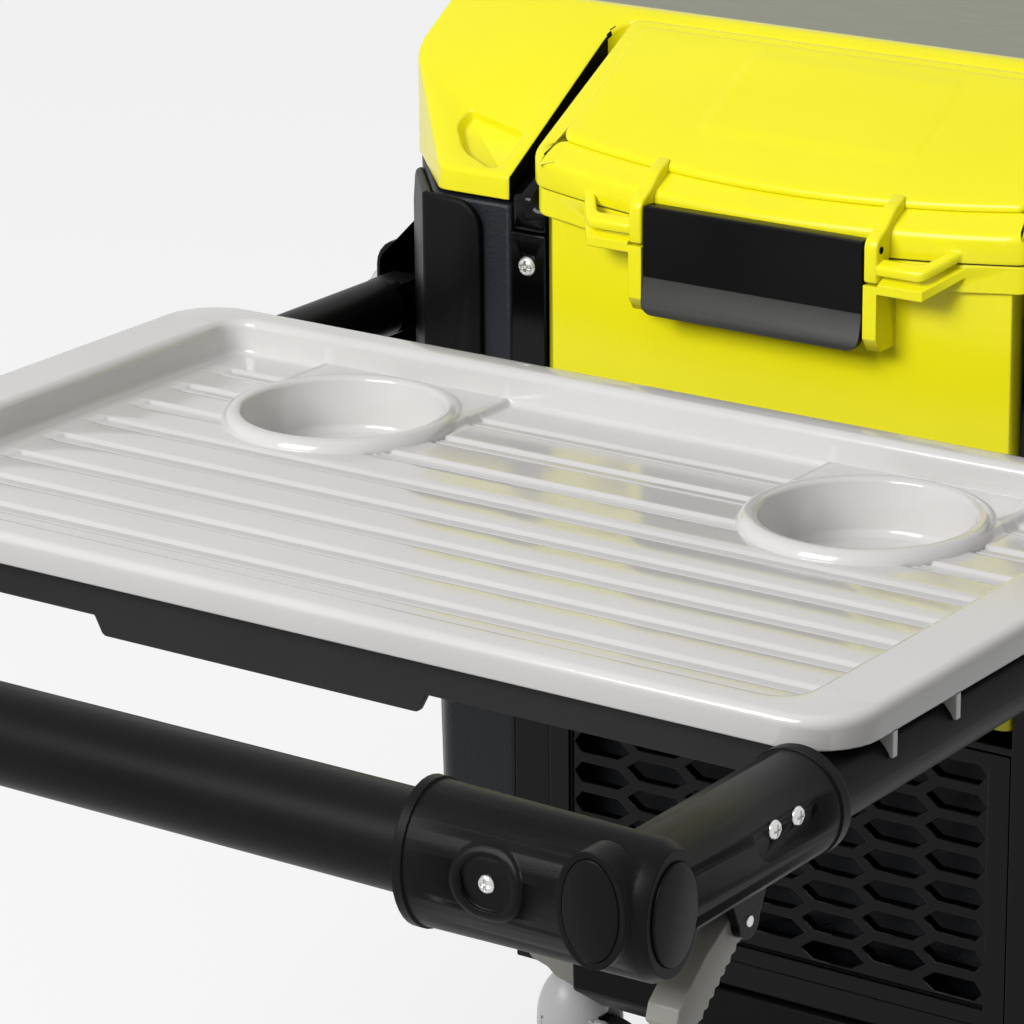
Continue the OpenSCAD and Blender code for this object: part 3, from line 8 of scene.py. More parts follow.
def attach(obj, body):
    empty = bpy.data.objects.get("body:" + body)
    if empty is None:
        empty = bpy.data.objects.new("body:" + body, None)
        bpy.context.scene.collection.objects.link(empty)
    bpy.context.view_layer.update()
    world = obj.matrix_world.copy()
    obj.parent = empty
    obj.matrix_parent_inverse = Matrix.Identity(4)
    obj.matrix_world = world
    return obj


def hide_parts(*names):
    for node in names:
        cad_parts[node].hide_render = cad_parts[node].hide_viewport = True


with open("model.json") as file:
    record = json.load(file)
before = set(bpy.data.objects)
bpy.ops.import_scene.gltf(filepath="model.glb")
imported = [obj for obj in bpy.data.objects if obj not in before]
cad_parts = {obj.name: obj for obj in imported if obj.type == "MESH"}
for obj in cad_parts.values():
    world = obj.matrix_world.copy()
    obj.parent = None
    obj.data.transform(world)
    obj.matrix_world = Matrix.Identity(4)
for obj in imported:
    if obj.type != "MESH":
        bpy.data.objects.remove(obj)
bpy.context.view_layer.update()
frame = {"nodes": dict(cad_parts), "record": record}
body_of_node = {n: b for b, ns in frame["record"]["behaviour"]["bodies"].items() for n in ns}

# Camera. The photograph is a close view from the front right and above, taken with a long
# lens; the place and turn below were solved from the tray's and the tubes' edges.
picture_px, focal_px, sensor_mm = 1024, 4631.43, 36.0
camera_place = (1.03262, -1.74695, 0.99442)
camera_data = bpy.data.cameras.new("view_from_front_right")
camera_data.sensor_width = sensor_mm
camera_data.lens = focal_px / picture_px * sensor_mm
camera_data.clip_start, camera_data.clip_end = 0.05, 50.0
camera = bpy.data.objects.new("view_from_front_right", camera_data)
bpy.context.scene.collection.objects.link(camera)
turn, dip, roll = math.radians(35.09), math.radians(18.38), math.radians(-0.54)
ahead = Vector((-math.sin(turn) * math.cos(dip), math.cos(turn) * math.cos(dip), -math.sin(dip)))
level_right = Vector((math.cos(turn), math.sin(turn), 0.0))
level_up = level_right.cross(ahead)
right = math.cos(roll) * level_right + math.sin(roll) * level_up
up = math.cos(roll) * level_up - math.sin(roll) * level_right
camera.matrix_world = Matrix.Translation(camera_place) @ Matrix(
    (right, up, -ahead)).transposed().to_4x4()
bpy.context.scene.camera = camera

# Chest shell. Rotomoulded navy plastic with a hammered skin, a fine pebbled bump. Its moulded
# corners are rounded a little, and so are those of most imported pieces.
front_face = 0.0736
large_flat = 0.003
eased_edge = 0.0009


def place(x, y, z):
    """A point in millimetres from the middle, the chest's front face and the ground."""
    return Vector((x / 1000, y / 1000 - front_face, z / 1000))


def show(name, bm, material, body, *nodes, crease=32.0):
    """Makes the finished mesh a piece that rides on its body and stands for its nodes.

    Large flats are shaded flat, so the rounding of a corner doesn't run across them.
    """
    mesh = bpy.data.meshes.new(name)
    bm.to_mesh(mesh)
    bm.free()
    mesh.materials.append(material)
    mesh.shade_smooth()
    mesh.set_sharp_from_angle(angle=math.radians(crease))
    for face in mesh.polygons:
        if face.area > large_flat:
            face.use_smooth = False
    piece = bpy.data.objects.new(name, mesh)
    bpy.context.scene.collection.objects.link(piece)
    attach(piece, body)
    if nodes:
        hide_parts(*nodes)
    return piece


def welded_copy(node):
    """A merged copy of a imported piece, its flats made whole."""
    bm = bmesh.new()
    bm.from_mesh(frame["nodes"][node].data)
    bmesh.ops.remove_doubles(bm, verts=bm.verts[:], dist=2e-6)
    bmesh.ops.dissolve_limit(bm, angle_limit=math.radians(0.7), use_dissolve_boundaries=False,
                             verts=bm.verts[:], edges=bm.edges[:])
    return bm


def softened(node, material, width, sharper_than=24.0):
    """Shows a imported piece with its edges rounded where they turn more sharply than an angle."""
    bm = welded_copy(node)
    if width > 0:
        edges = [e for e in bm.edges if len(e.link_faces) == 2
                 and e.calc_face_angle(0.0) > math.radians(sharper_than)]
        bmesh.ops.bevel(bm, geom=edges, offset=width, offset_type="OFFSET", segments=2,
                        profile=0.5, affect="EDGES", clamp_overlap=False, material=-1)
    show(node + "_soft", bm, material, body_of_node[node], node)


def group_value(group, name, kind, value, out=False):
    """Gives a node group one more input or output."""
    socket = group.interface.new_socket(name=name, in_out="OUTPUT" if out else "INPUT", socket_type=kind)
    if not out:
        socket.default_value = value


def moulded_grain_group():
    """Height and mottling of a moulded plastic skin, from Object coordinates."""
    group = bpy.data.node_groups.new("moulded_grain", "ShaderNodeTree")
    group_value(group, "Place", "NodeSocketVector", (0, 0, 0))
    group_value(group, "Grain Size", "NodeSocketFloat", 900.0)
    group_value(group, "Pebble", "NodeSocketFloat", 0.5)
    group_value(group, "Height", "NodeSocketFloat", 0.0, out=True)
    group_value(group, "Mottle", "NodeSocketFloat", 0.0, out=True)
    nodes, links = group.nodes, group.links
    inside, outside = nodes.new("NodeGroupInput"), nodes.new("NodeGroupOutput")
    fine = nodes.new("ShaderNodeTexNoise")
    fine.inputs["Detail"].default_value = 2.0
    pebbles = nodes.new("ShaderNodeTexVoronoi")
    pebbles.feature = "SMOOTH_F1"
    broad = nodes.new("ShaderNodeTexNoise")
    broad.inputs["Scale"].default_value = 14.0
    broad.inputs["Detail"].default_value = 4.0
    mix = nodes.new("ShaderNodeMix")
    mix.data_type = "FLOAT"
    for node in (fine, pebbles):
        links.new(inside.outputs["Place"], node.inputs["Vector"])
        links.new(inside.outputs["Grain Size"], node.inputs["Scale"])
    links.new(inside.outputs["Place"], broad.inputs["Vector"])
    links.new(inside.outputs["Pebble"], mix.inputs["Factor"])
    links.new(fine.outputs["Fac"], mix.inputs["A"])
    links.new(pebbles.outputs["Distance"], mix.inputs["B"])
    links.new(mix.outputs["Result"], outside.inputs["Height"])
    links.new(broad.outputs["Fac"], outside.inputs["Mottle"])
    return group


moulded_grain = moulded_grain_group()


def ranged(tree, source, low, high):
    """A value from 0.3..0.7 of a noise brought to a given range."""
    node = tree.nodes.new("ShaderNodeMapRange")
    node.inputs["From Min"].default_value = 0.3
    node.inputs["From Max"].default_value = 0.7
    node.inputs["To Min"].default_value = low
    node.inputs["To Max"].default_value = high
    tree.links.new(source, node.inputs["Value"])
    return node.outputs["Result"]


def moulded_plastic(name, dark, light, rough, grain_size, grain_depth, pebble=0.0, coat=0.0,
                    metal=0.0, shine=0.5):
    """A moulded or coated skin: a mottled colour, a mottled roughness and a fine grain."""
    material = bpy.data.materials.new(name)
    material.use_nodes = True
    tree = material.node_tree
    skin = tree.nodes["Principled BSDF"]
    where = tree.nodes.new("ShaderNodeTexCoord")
    grain = tree.nodes.new("ShaderNodeGroup")
    grain.node_tree = moulded_grain
    grain.inputs["Grain Size"].default_value = grain_size
    grain.inputs["Pebble"].default_value = pebble
    tree.links.new(where.outputs["Object"], grain.inputs["Place"])
    colours = tree.nodes.new("ShaderNodeMix")
    colours.data_type = "RGBA"
    colours.inputs["A"].default_value = (*dark, 1)
    colours.inputs["B"].default_value = (*light, 1)
    tree.links.new(ranged(tree, grain.outputs["Mottle"], 0.0, 1.0), colours.inputs["Factor"])
    tree.links.new(colours.outputs["Result"], skin.inputs["Base Color"])
    tree.links.new(ranged(tree, grain.outputs["Mottle"], rough[0], rough[1]), skin.inputs["Roughness"])
    eased = tree.nodes.new("ShaderNodeBevel")
    eased.samples = 6
    eased.inputs["Radius"].default_value = eased_edge
    bump = tree.nodes.new("ShaderNodeBump")
    bump.inputs["Strength"].default_value = 1.0
    bump.inputs["Distance"].default_value = grain_depth
    tree.links.new(grain.outputs["Height"], bump.inputs["Height"])
    tree.links.new(eased.outputs["Normal"], bump.inputs["Normal"])
    tree.links.new(bump.outputs["Normal"], skin.inputs["Normal"])
    skin.inputs["Coat Weight"].default_value = coat
    skin.inputs["Coat Roughness"].default_value = 0.08
    skin.inputs["Metallic"].default_value = metal
    skin.inputs["Specular IOR Level"].default_value = shine
    return material


navy_hammered = moulded_plastic("navy_hammered", (0.0078, 0.0094, 0.0130), (0.0110, 0.0128, 0.0172),
                                (0.42, 0.52), 620.0, 0.00022, pebble=0.75, shine=0.26)
softened("chest_shell", navy_hammered, 0.002)
softened("hinge_lugs", navy_hammered, 0.0008)


def finish(material, *nodes):
    """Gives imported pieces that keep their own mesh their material."""
    for node in nodes:
        mesh = frame["nodes"][node].data
        mesh.materials.clear()
        mesh.materials.append(material)
        for face in mesh.polygons:
            face.material_index = 0


# Foam, liners and gaskets. White food-safe liners with a smooth skin, foam poured between
# them and the shell, and black rubber gaskets under both lids.
white_liner = moulded_plastic("white_liner", (0.70, 0.70, 0.67), (0.76, 0.76, 0.74), (0.34, 0.42),
                              400.0, 0.00003)
poured_foam = moulded_plastic("poured_foam", (0.72, 0.68, 0.52), (0.80, 0.77, 0.62), (0.85, 0.95),
                              300.0, 0.0004, pebble=1.0)
gasket_rubber = moulded_plastic("gasket_rubber", (0.020, 0.020, 0.021), (0.028, 0.028, 0.029),
                                (0.62, 0.75), 900.0, 0.00003)
finish(poured_foam, "insulation")
softened("ice_liner", white_liner, 0.0012)
softened("lid_liner", white_liner, 0.001)
finish(gasket_rubber, "lid_gasket", "bin_gasket")

# Base frame, bumper and drain. Black polypropylene with a fine matt spark-eroded texture;
# the skid strips beside the bumper are grey.
matt_black = moulded_plastic("matt_black", (0.0024, 0.0024, 0.0026), (0.0034, 0.0034, 0.0036),
                             (0.34, 0.44), 1500.0, 0.00004, shine=0.10)
skid_grey = moulded_plastic("skid_grey", (0.270, 0.262, 0.235), (0.310, 0.302, 0.270), (0.38, 0.48),
                            1200.0, 0.00003)
softened("base_frame", matt_black, 0.0008)
softened("front_bumper", matt_black, 0.0015)
softened("skid_band", skid_grey, 0.0015)
softened("drain_spout", matt_black, 0.0006)
softened("drain_cap", matt_black, 0.0005)

# Bay, rails and grille. Polished black mouldings: two posts with sloped tops beside the
# front bin, and below it a honeycomb grille in its frame.
piano_black = moulded_plastic("piano_black", (0.0012, 0.0012, 0.0014), (0.0018, 0.0018, 0.0020),
                              (0.10, 0.16), 500.0, 0.000008, shine=0.16)
softened("bin_bay", piano_black, 0.0007)
softened("bay_rails", piano_black, 0.0022)


grille_half, grille_low, grille_high, grille_deep = 122.6, 118, 249.7, 7.5
border_half, border_low, border_high = 112, 126, 244
field_half, field_low, field_high, field_middle = 110.4, 128, 242, 185
web_front, web_chamfer = 2.5, 0.45
cell_pitch, row_pitch, most_rows, side_columns = 32, 15, 8, 3
cell_tip, cell_flat, cell_half = 17.2, 10.2, 5.2


def oblong(half, low, high):
    """The corners of an upright or lying rectangle, even about the middle."""
    return [(-half, low), (half, low), (half, high), (-half, high)]


def kept_between(value, low, high):
    return min(max(value, low), high)


def grille_shape():
    """Panel with wide flat cells, its border standing a little in front of the webs."""
    bm = bmesh.new()

    def ring(corners, y):
        return [bm.verts.new(place(x, y, z)) for x, z in corners]

    def wall(first, second):
        for i in range(len(first)):
            bm.faces.new((first[i - 1], first[i], second[i], second[i - 1]))

    def fill(*rings):
        edges = []
        for points in rings:
            pairs = [(points[i - 1], points[i]) for i in range(len(points))]
            edges += [bm.edges.get(pair) or bm.edges.new(pair) for pair in pairs]
        bmesh.ops.triangle_fill(bm, edges=edges, use_beauty=True, use_dissolve=False)

    outer = oblong(grille_half, grille_low, grille_high)
    inner = oblong(border_half, border_low, border_high)
    front, back = ring(outer, 0), ring(outer, grille_deep)
    step_top, step_foot = ring(inner, 0), ring(inner, web_front)
    wall(front, back)
    wall(front, step_top)
    wall(step_top, step_foot)
    mouths, ends = [step_foot], [back]
    for column in range(-side_columns, side_columns + 1):
        middle_x, count = column * cell_pitch, most_rows - (column + 1) % 2
        for row in range(count):
            middle_z = field_middle + (row - (count - 1) / 2) * row_pitch
            rings = []
            for inset, y in ((0, web_front), (web_chamfer, 3.0), (web_chamfer, grille_deep)):
                tip, flat, half = cell_tip - 1.6 * inset, cell_flat - 0.4 * inset, cell_half - inset
                cell = [(tip, 0), (flat, half), (-flat, half), (-tip, 0), (-flat, -half), (flat, -half)]
                rings.append(ring([
                    (kept_between(middle_x + x, inset - field_half, field_half - inset),
                     kept_between(middle_z + z, field_low + inset, field_high - inset))
                    for x, z in cell], y))
            wall(rings[0], rings[1])
            wall(rings[1], rings[2])
            mouths.append(rings[0])
            ends.append(rings[2])
    fill(*mouths)
    fill(*ends)
    bmesh.ops.recalc_face_normals(bm, faces=bm.faces[:])
    return bm


show("grille_panel", grille_shape(), piano_black, "chest", "grille")

# Brackets. A black moulded bracket bolts round each front corner of the chest and carries
# the arched housing in which the pull handle's pivot turns.
softened("bracket_left", matt_black, 0.0016)
softened("bracket_right", matt_black, 0.0016)

# Screws, pins and bolts. Bright zinc-plated steel, turned and headed; they hold the posts,
# brackets, hinges, wheels and the handle's fittings.
bright_steel = moulded_plastic("bright_steel", (0.62, 0.62, 0.61), (0.72, 0.72, 0.71), (0.18, 0.30),
                               1200.0, 0.00002, metal=1.0)
finish(bright_steel, "post_screws", "bracket_screws", "pivot_bolts", "hinge_pins", "rear_axle",
       "axle_nuts", "caster_stems", "bin_hinge_pins", "latch_pins", "corner_screws", "sleeve_screws",
       "plate_screws", "trigger_pins", "caster_axle_left", "caster_axle_right")

# Rear wheels. Black rubber tyres on black plastic hubs, which turn on one through axle under
# the back of the chest.
tyre_rubber = moulded_plastic("tyre_rubber", (0.0105, 0.0105, 0.0110), (0.0145, 0.0145, 0.0150),
                              (0.58, 0.70), 700.0, 0.00006, shine=0.3)
for side in ("left", "right"):
    softened(f"rear_tyre_{side}", tyre_rubber, 0.0008, sharper_than=40)
    softened(f"rear_hub_{side}", matt_black, 0.0008, sharper_than=40)

# Front casters. Domed hoods moulded in pale grey plastic over dark rubber wheels; each
# swivels on a stem in the base frame.
pale_hood = moulded_plastic("pale_hood", (0.60, 0.60, 0.61), (0.68, 0.68, 0.69), (0.28, 0.36),
                            900.0, 0.00002)
for side in ("left", "right"):
    softened(f"caster_fork_{side}", pale_hood, 0.0008, sharper_than=40)
    softened(f"caster_wheel_{side}", tyre_rubber, 0.0005, sharper_than=40)

# Main lid. Lime green moulding with a semi-gloss skin, a sloped hood with two arms round
# the front bin, and a brushed aluminium worktop let into its deck.
lime = moulded_plastic("lime", (0.82, 0.758, 0.007), (0.85, 0.785, 0.010), (0.19, 0.25),
                       1300.0, 0.000018, shine=0.30)
lid_low, lid_deck, hood_foot = 464.5, 536.5, 475
hood_rise, hood_run = 61.5, 97
notch_half, notch_back = 142.8, 91
arm_half, chamfer_back, lid_half, lid_back = 182, 60, 238, 640
seat_half, seat_front, seat_back, seat_corner = 220.3, 101.2, 624.3, 14
hinge_arms_from = 0.6404


def rounded_outline(corners, reach, bow=0.0, steps=8):
    """Plan points in millimetres: the corners rounded over their reach, the first side bowed."""
    bm = bmesh.new()
    points = [bm.verts.new((x, y, 0)) for x, y in corners]
    bm.faces.new(points)
    if bow:
        first_side = bm.edges.get((points[0], points[1]))
        half = (corners[1][0] - corners[0][0]) / 2
        cut = bmesh.ops.subdivide_edges(bm, edges=[first_side], cuts=16)
        for item in cut["geom_inner"]:
            if isinstance(item, bmesh.types.BMVert):
                item.co.y -= bow * (1 - (item.co.x / half) ** 2)
    for corner, length in zip(corners, reach):
        if length:
            point = min(bm.verts, key=lambda v: (v.co.xy - Vector(corner)).length)
            bmesh.ops.bevel(bm, geom=[point], offset=length, offset_type="OFFSET", segments=steps,
                            profile=0.5, affect="VERTICES", clamp_overlap=False, material=-1)
    outline = [(v.co.x, v.co.y) for v in bm.faces[:][0].verts]
    bm.free()
    return outline


def flat_face(bm, outline, height):
    """A face over a plan outline; the height is a number or follows from the point."""
    return bm.faces.new([bm.verts.new(place(x, y, height(x, y) if callable(height) else height))
                         for x, y in outline])


def raise_face(bm, face, rise):
    """Extrudes a face by a vector in millimetres and gives the new end face."""
    made = bmesh.ops.extrude_face_region(bm, geom=[face])["geom"]
    end = [g for g in made if isinstance(g, bmesh.types.BMFace)][0]
    bmesh.ops.translate(bm, verts=end.verts[:], vec=Vector(rise) / 1000)
    return end


def step_in(bm, face, *steps):
    """Insets a face again and again by (inward, along its normal) in millimetres."""
    for inward, along in steps:
        bmesh.ops.inset_region(bm, faces=[face], thickness=inward / 1000, depth=along / 1000,
                               use_even_offset=True)


def everything(bm):
    return bm.verts[:] + bm.edges[:] + bm.faces[:]


def cut_across(bm, part, point, normal, reach=1e-7):
    """Cuts faces along a plane and gives all that lies on both sides."""
    return bmesh.ops.bisect_plane(bm, geom=part, dist=reach, plane_co=point, plane_no=normal)["geom"]


def take_in(bm, extra, name):
    """Adds a second shape to the first."""
    mesh = bpy.data.meshes.new(name)
    extra.to_mesh(mesh)
    extra.free()
    bm.from_mesh(mesh)


def round_edges(bm, width, chosen, segments=3):
    """Rounds the edges that a test picks; the width is in millimetres."""
    edges = [e for e in bm.edges if len(e.link_faces) == 2 and chosen(e)]
    bmesh.ops.bevel(bm, geom=edges, offset=width / 1000, offset_type="OFFSET", segments=segments,
                    profile=0.5, affect="EDGES", clamp_overlap=True, material=-1)


def level(point):
    """A point's height above the ground, in millimetres."""
    return point.co.z * 1000


def depth(point):
    """How far a point lies behind the chest's front face, in millimetres."""
    return (point.co.y + front_face) * 1000


def hole_in(bm, face, holes):
    """Fills the face again round closed loops that lie in it."""
    rim = face.edges[:]
    bmesh.ops.delete(bm, geom=[face], context="FACES_ONLY")
    bmesh.ops.triangle_fill(bm, use_beauty=True, use_dissolve=False,
                            edges=rim + [e for hole in holes for e in hole.edges])


def joined_loops(bm, *layers):
    """Walls between outlines at their heights, both ends closed; gives each loop's edges."""
    loops = []
    for outline, height in layers:
        points = [bm.verts.new(place(x, y, height)) for x, y in outline]
        loops.append([bm.edges.new((points[i - 1], points[i])) for i in range(len(points))])
    for low, high in zip(loops, loops[1:]):
        bmesh.ops.bridge_loops(bm, edges=low + high)
    bmesh.ops.contextual_create(bm, geom=loops[0])
    bmesh.ops.contextual_create(bm, geom=loops[-1])
    bmesh.ops.recalc_face_normals(bm, faces=bm.faces[:])
    return loops


def round_loops(bm, *rounds):
    """Rounds whole loops of edges by their radii in millimetres."""
    for loop, radius in rounds:
        bmesh.ops.bevel(bm, geom=loop, offset=radius / 1000, offset_type="OFFSET", segments=4,
                        profile=0.5, affect="EDGES", clamp_overlap=False, material=-1)


def kept_part(node, wanted):
    """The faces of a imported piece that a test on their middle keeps, as a mesh."""
    bm = welded_copy(node)
    unwanted = [f for f in bm.faces if not wanted(f.calc_center_median())]
    bmesh.ops.delete(bm, geom=unwanted, context="FACES")
    mesh = bpy.data.meshes.new(node + "_part")
    bm.to_mesh(mesh)
    bm.free()
    return mesh


def main_lid_shape():
    bm = bmesh.new()
    plan = rounded_outline([(-arm_half, 0), (-notch_half, 0), (-notch_half, notch_back),
                            (notch_half, notch_back), (notch_half, 0), (arm_half, 0),
                            (lid_half, chamfer_back), (lid_half, lid_back),
                            (-lid_half, lid_back), (-lid_half, chamfer_back)],
                           [4.4, 2, 13, 13, 2, 4.4, 8, 24, 24, 8])
    base = flat_face(bm, plan, lid_low)
    raise_face(bm, base, (0, 0, lid_deck - lid_low))
    hood = Vector((0, -hood_rise, hood_run)).normalized()
    cut = bmesh.ops.bisect_plane(bm, geom=everything(bm), dist=1e-6, plane_co=place(0, 0, hood_foot),
                                 plane_no=hood, clear_outer=True)
    hood_rim = [g for g in cut["geom_cut"] if isinstance(g, bmesh.types.BMEdge)]
    bmesh.ops.contextual_create(bm, geom=hood_rim)
    bmesh.ops.recalc_face_normals(bm, faces=bm.faces[:])
    under = min(bm.faces, key=lambda f: level(f.verts[0]) + level(f.verts[-1]) - 1000 * f.calc_area())
    step_in(bm, under, (1.5, 0), (0.2, -5))
    round_edges(bm, 3.3, lambda e: min(level(v) for v in e.verts) > hood_foot - 3
                and e.calc_face_angle(0.0) > 0.45, 4)
    slope = max(bm.faces, key=lambda f: f.calc_area() if f.normal.dot(hood) > 0.9999 else 0)
    part = [slope] + slope.edges[:] + slope.verts[:]
    # The hood's face goes round the notch; cut beside and behind it, every part is a plain shape.
    for side in (1, -1):
        part = cut_across(bm, part, place(side * (notch_half + 4.2), 0, 0), (1, 0, 0))
    for y in (notch_back - 7, notch_back - 0.1):
        part = cut_across(bm, part, place(0, y, 0), (0, 1, 0))
    deck = max(bm.faces, key=lambda f: f.calc_area() if f.normal.z > 0.999 else 0)
    worktop_seat = flat_face(bm, rounded_outline(oblong(seat_half, seat_front, seat_back),
                                                 [seat_corner] * 4), lid_deck)
    scoop_corners = [(150.5, 5), (156.3, 2.6), (176.6, 9.6), (189.4, 22.8), (187.4, 32.4), (150.5, 24.6)]
    scoops = []
    for side in (1, -1):
        outline = rounded_outline([(side * x, y) for x, y in scoop_corners[::side]],
                                  [3, 3, 5, 4, 4, 4][::side], steps=5)
        arm = max(bm.faces, key=lambda f: f.calc_area() if f.normal.dot(hood) > 0.9999
                  and f.calc_center_median().x * side > 0.15 else 0)
        scoops.append(flat_face(bm, outline, lambda x, y: hood_foot + y * hood_rise / hood_run))
        hole_in(bm, arm, scoops[-1:])
    hole_in(bm, deck, [worktop_seat])
    bmesh.ops.recalc_face_normals(bm, faces=bm.faces[:])
    step_in(bm, worktop_seat, (0.5, -0.5), (0.05, -2.2))
    for scoop in scoops:
        step_in(bm, scoop, (0.5, -0.2), (0.5, -0.7), (0.5, -3.4), (0.7, -0.9), (1.0, -0.6))
    # The notch's inner side walls take the second material, matt black, as painted shade: the lid is
    # lime there, and the gap beside the bin lid lies in shade.
    for f in bm.faces:
        middle = f.calc_center_median()
        f.material_index = int(abs(abs(middle.x) * 1000 - notch_half) < 0.6
                               and f.normal.x * middle.x < 0 and middle.y + front_face < 0.1)
    bm.from_mesh(kept_part("main_lid", lambda middle: middle.y + front_face > hinge_arms_from))
    return bm


lid_shell = show("main_lid_shell", main_lid_shape(), lime, "lid", "main_lid", crease=38)
# Matt black, the painted shade on the notch's side walls.
lid_shell.data.materials.append(matt_black)


def brushed_metal(name, colour, rough, along):
    """Metal with fine lines along one axis."""
    material = bpy.data.materials.new(name)
    material.use_nodes = True
    tree = material.node_tree
    skin = tree.nodes["Principled BSDF"]
    where = tree.nodes.new("ShaderNodeTexCoord")
    stretch = tree.nodes.new("ShaderNodeMapping")
    stretch.inputs["Scale"].default_value = along
    lines = tree.nodes.new("ShaderNodeTexNoise")
    lines.inputs["Scale"].default_value = 60.0
    lines.inputs["Detail"].default_value = 5.0
    tree.links.new(where.outputs["Object"], stretch.inputs["Vector"])
    tree.links.new(stretch.outputs["Vector"], lines.inputs["Vector"])
    tree.links.new(ranged(tree, lines.outputs["Fac"], rough[0], rough[1]), skin.inputs["Roughness"])
    colours = tree.nodes.new("ShaderNodeMix")
    colours.data_type = "RGBA"
    colours.inputs["A"].default_value = (*[c * 0.9 for c in colour], 1)
    colours.inputs["B"].default_value = (*colour, 1)
    tree.links.new(lines.outputs["Fac"], colours.inputs["Factor"])
    tree.links.new(colours.outputs["Result"], skin.inputs["Base Color"])
    bump = tree.nodes.new("ShaderNodeBump")
    bump.inputs["Distance"].default_value = 0.00002
    tree.links.new(lines.outputs["Fac"], bump.inputs["Height"])
    tree.links.new(bump.outputs["Normal"], skin.inputs["Normal"])
    skin.inputs["Metallic"].default_value = 0.85
    return material


brushed_deck = brushed_metal("brushed_deck", (0.225, 0.240, 0.165), (0.36, 0.50), (1.0, 40.0, 40.0))
softened("worktop", brushed_deck, 0.0005)

# Front bin and its lid. Thin lime mouldings: a tapered bin with a bowed front, carry loops
# beside the latch, and a lid with a stepped rim and a raised panel.
softened("bin", lime, 0)
slope_rise, lid_bow = 0.5586, 10.5
lid_ceiling, rim_low, rim_high, panel_high = 480.6, 475.6, 488.6, 492.6
strap_low, strap_thick = 476.4, 4.8
ear_inner, ear_wide = 56.9, 6.8


def bin_lid_shape():
    bm = bmesh.new()
    inside = rounded_outline(oblong(127.3, 0.7, 81.3), [6, 6, 3, 3], lid_bow)
    outer = rounded_outline(oblong(130.5, -2.5, 84.5), [8.5, 8.5, 4, 4], lid_bow)
    panel = rounded_outline(oblong(119.5, 8.5, 75.5), [5, 5, 4, 4], lid_bow)
    loops = joined_loops(bm, (inside, lid_ceiling), (inside, rim_low), (outer, rim_low),
                         (outer, rim_high), (panel, rim_high), (panel, panel_high))
    round_loops(bm, (loops[2], 1.2), (loops[3], 3.0), (loops[4], 1.4), (loops[5], 2.0))
    top = max(bm.faces, key=lambda f: f.calc_area() if f.normal.z > 0.999
              and level(f.verts[0]) > panel_high - 0.6 else 0)
    recess = flat_face(bm, rounded_outline(oblong(58, 18, 71), [9] * 4), panel_high)
    hole_in(bm, top, [recess])
    bmesh.ops.recalc_face_normals(bm, faces=bm.faces[:])
    step_in(bm, recess, (2.2, -0.12), (2.2, -0.5), (2.2, -0.12))
    strap = [(62.7, -21.6), (86, -21.6), (103, 1), (97, 1), (83.5, -16.6), (62.7, -16.6)]
    for side in (1, -1):
        loop = bmesh.new()
        raise_face(loop, flat_face(loop, [(side * x, y) for x, y in rounded_outline(
            strap, [0, 3, 0, 0, 2, 0], steps=3)], strap_low), (0, 0, strap_thick))
        bmesh.ops.recalc_face_normals(loop, faces=loop.faces[:])
        round_edges(loop, 1.3, lambda e: e.calc_face_angle(0.0) > 0.9, 3)
        take_in(bm, loop, "carry_loop")
    bmesh.ops.recalc_face_normals(bm, faces=bm.faces[:])
    for v in bm.verts:
        v.co.z += slope_rise * depth(v) / 1000
    profile = [(-10.4, 461), (-21.6, 461), (-21.6, 479.6), (-13, 484.4),
               (-6, 491.4), (3, 495.2), (3, 486), (-10.4, 473)]
    for side in (1, -1):
        ear = bmesh.new()
        edge_points = rounded_outline(profile, [0, 0, 3.5, 3, 2, 0, 0, 0], steps=4)
        flank = ear.faces.new([ear.verts.new(place(side * ear_inner, y, z)) for y, z in edge_points])
        raise_face(ear, flank, (side * ear_wide, 0, 0))
        bmesh.ops.recalc_face_normals(ear, faces=ear.faces[:])
        round_edges(ear, 1.2, lambda e: e.calc_face_angle(0.0) > 0.9, 3)
        take_in(bm, ear, "latch_ear")
    return bm


show("bin_lid_shell", bin_lid_shape(), lime, "front_bin_lid", "bin_lid", crease=38)

# Latch. A draw latch moulded in satin black, with a rolled top and a flared lower lip whose
# grain is coarser and whose lighter grey is a painted highlight. It turns on pins between
# the bin lid's ears.
satin_black = moulded_plastic("satin_black", (0.0026, 0.0026, 0.0028), (0.0036, 0.0036, 0.0038),
                              (0.26, 0.34), 1600.0, 0.00002, shine=0.10)
latch_half, latch_low, latch_high, latch_front = 56.1, 430, 478.8, -21.2
latch_thick, lip_high, lip_tall, lip_flare = 0.0034, 446.0, 13.0, 0.0027


def latch_shape():
    bm = bmesh.new()
    plate = rounded_outline(oblong(latch_half, latch_low, latch_high), [6, 6, 0.6, 0.6], steps=6)
    bm.faces.new([bm.verts.new(place(x, latch_front, z)) for x, z in plate])
    for height in (472.4, 446.6, 445.2, 441, 437, 434, 432):
        cut_across(bm, everything(bm), place(0, 0, height), (0, 0, 1), 1e-6)
    bmesh.ops.solidify(bm, geom=bm.faces[:], thickness=latch_thick)
    back = max(v.co.y for v in bm.verts)
    for v in bm.verts:
        flare = kept_between((lip_high - level(v)) / lip_tall, 0.0, 1.0)
        v.co.y -= lip_flare * flare ** 1.3
        if abs(v.co.y - back) < 1e-5 and level(v) > 472:
            v.co.y += latch_thick
    bmesh.ops.recalc_face_normals(bm, faces=bm.faces[:])
    round_edges(bm, 3.0, lambda e: all(level(v) > 478 and depth(v) < -20 for v in e.verts), 6)
    round_edges(bm, 1.0, lambda e: e.calc_face_angle(0.0) > 0.9, 3)
    # The lip's front faces take the second material: a real coarser grain, and a lighter grey that is a
    # painted highlight.
    for f in bm.faces:
        f.material_index = int(max(level(v) for v in f.verts) < 446.7 and f.normal.y < -0.7)
    hook = kept_part("bin_latch", lambda middle: middle.y + front_face > -0.0176 and middle.z < 0.452)
    bm.from_mesh(hook)
    return bm
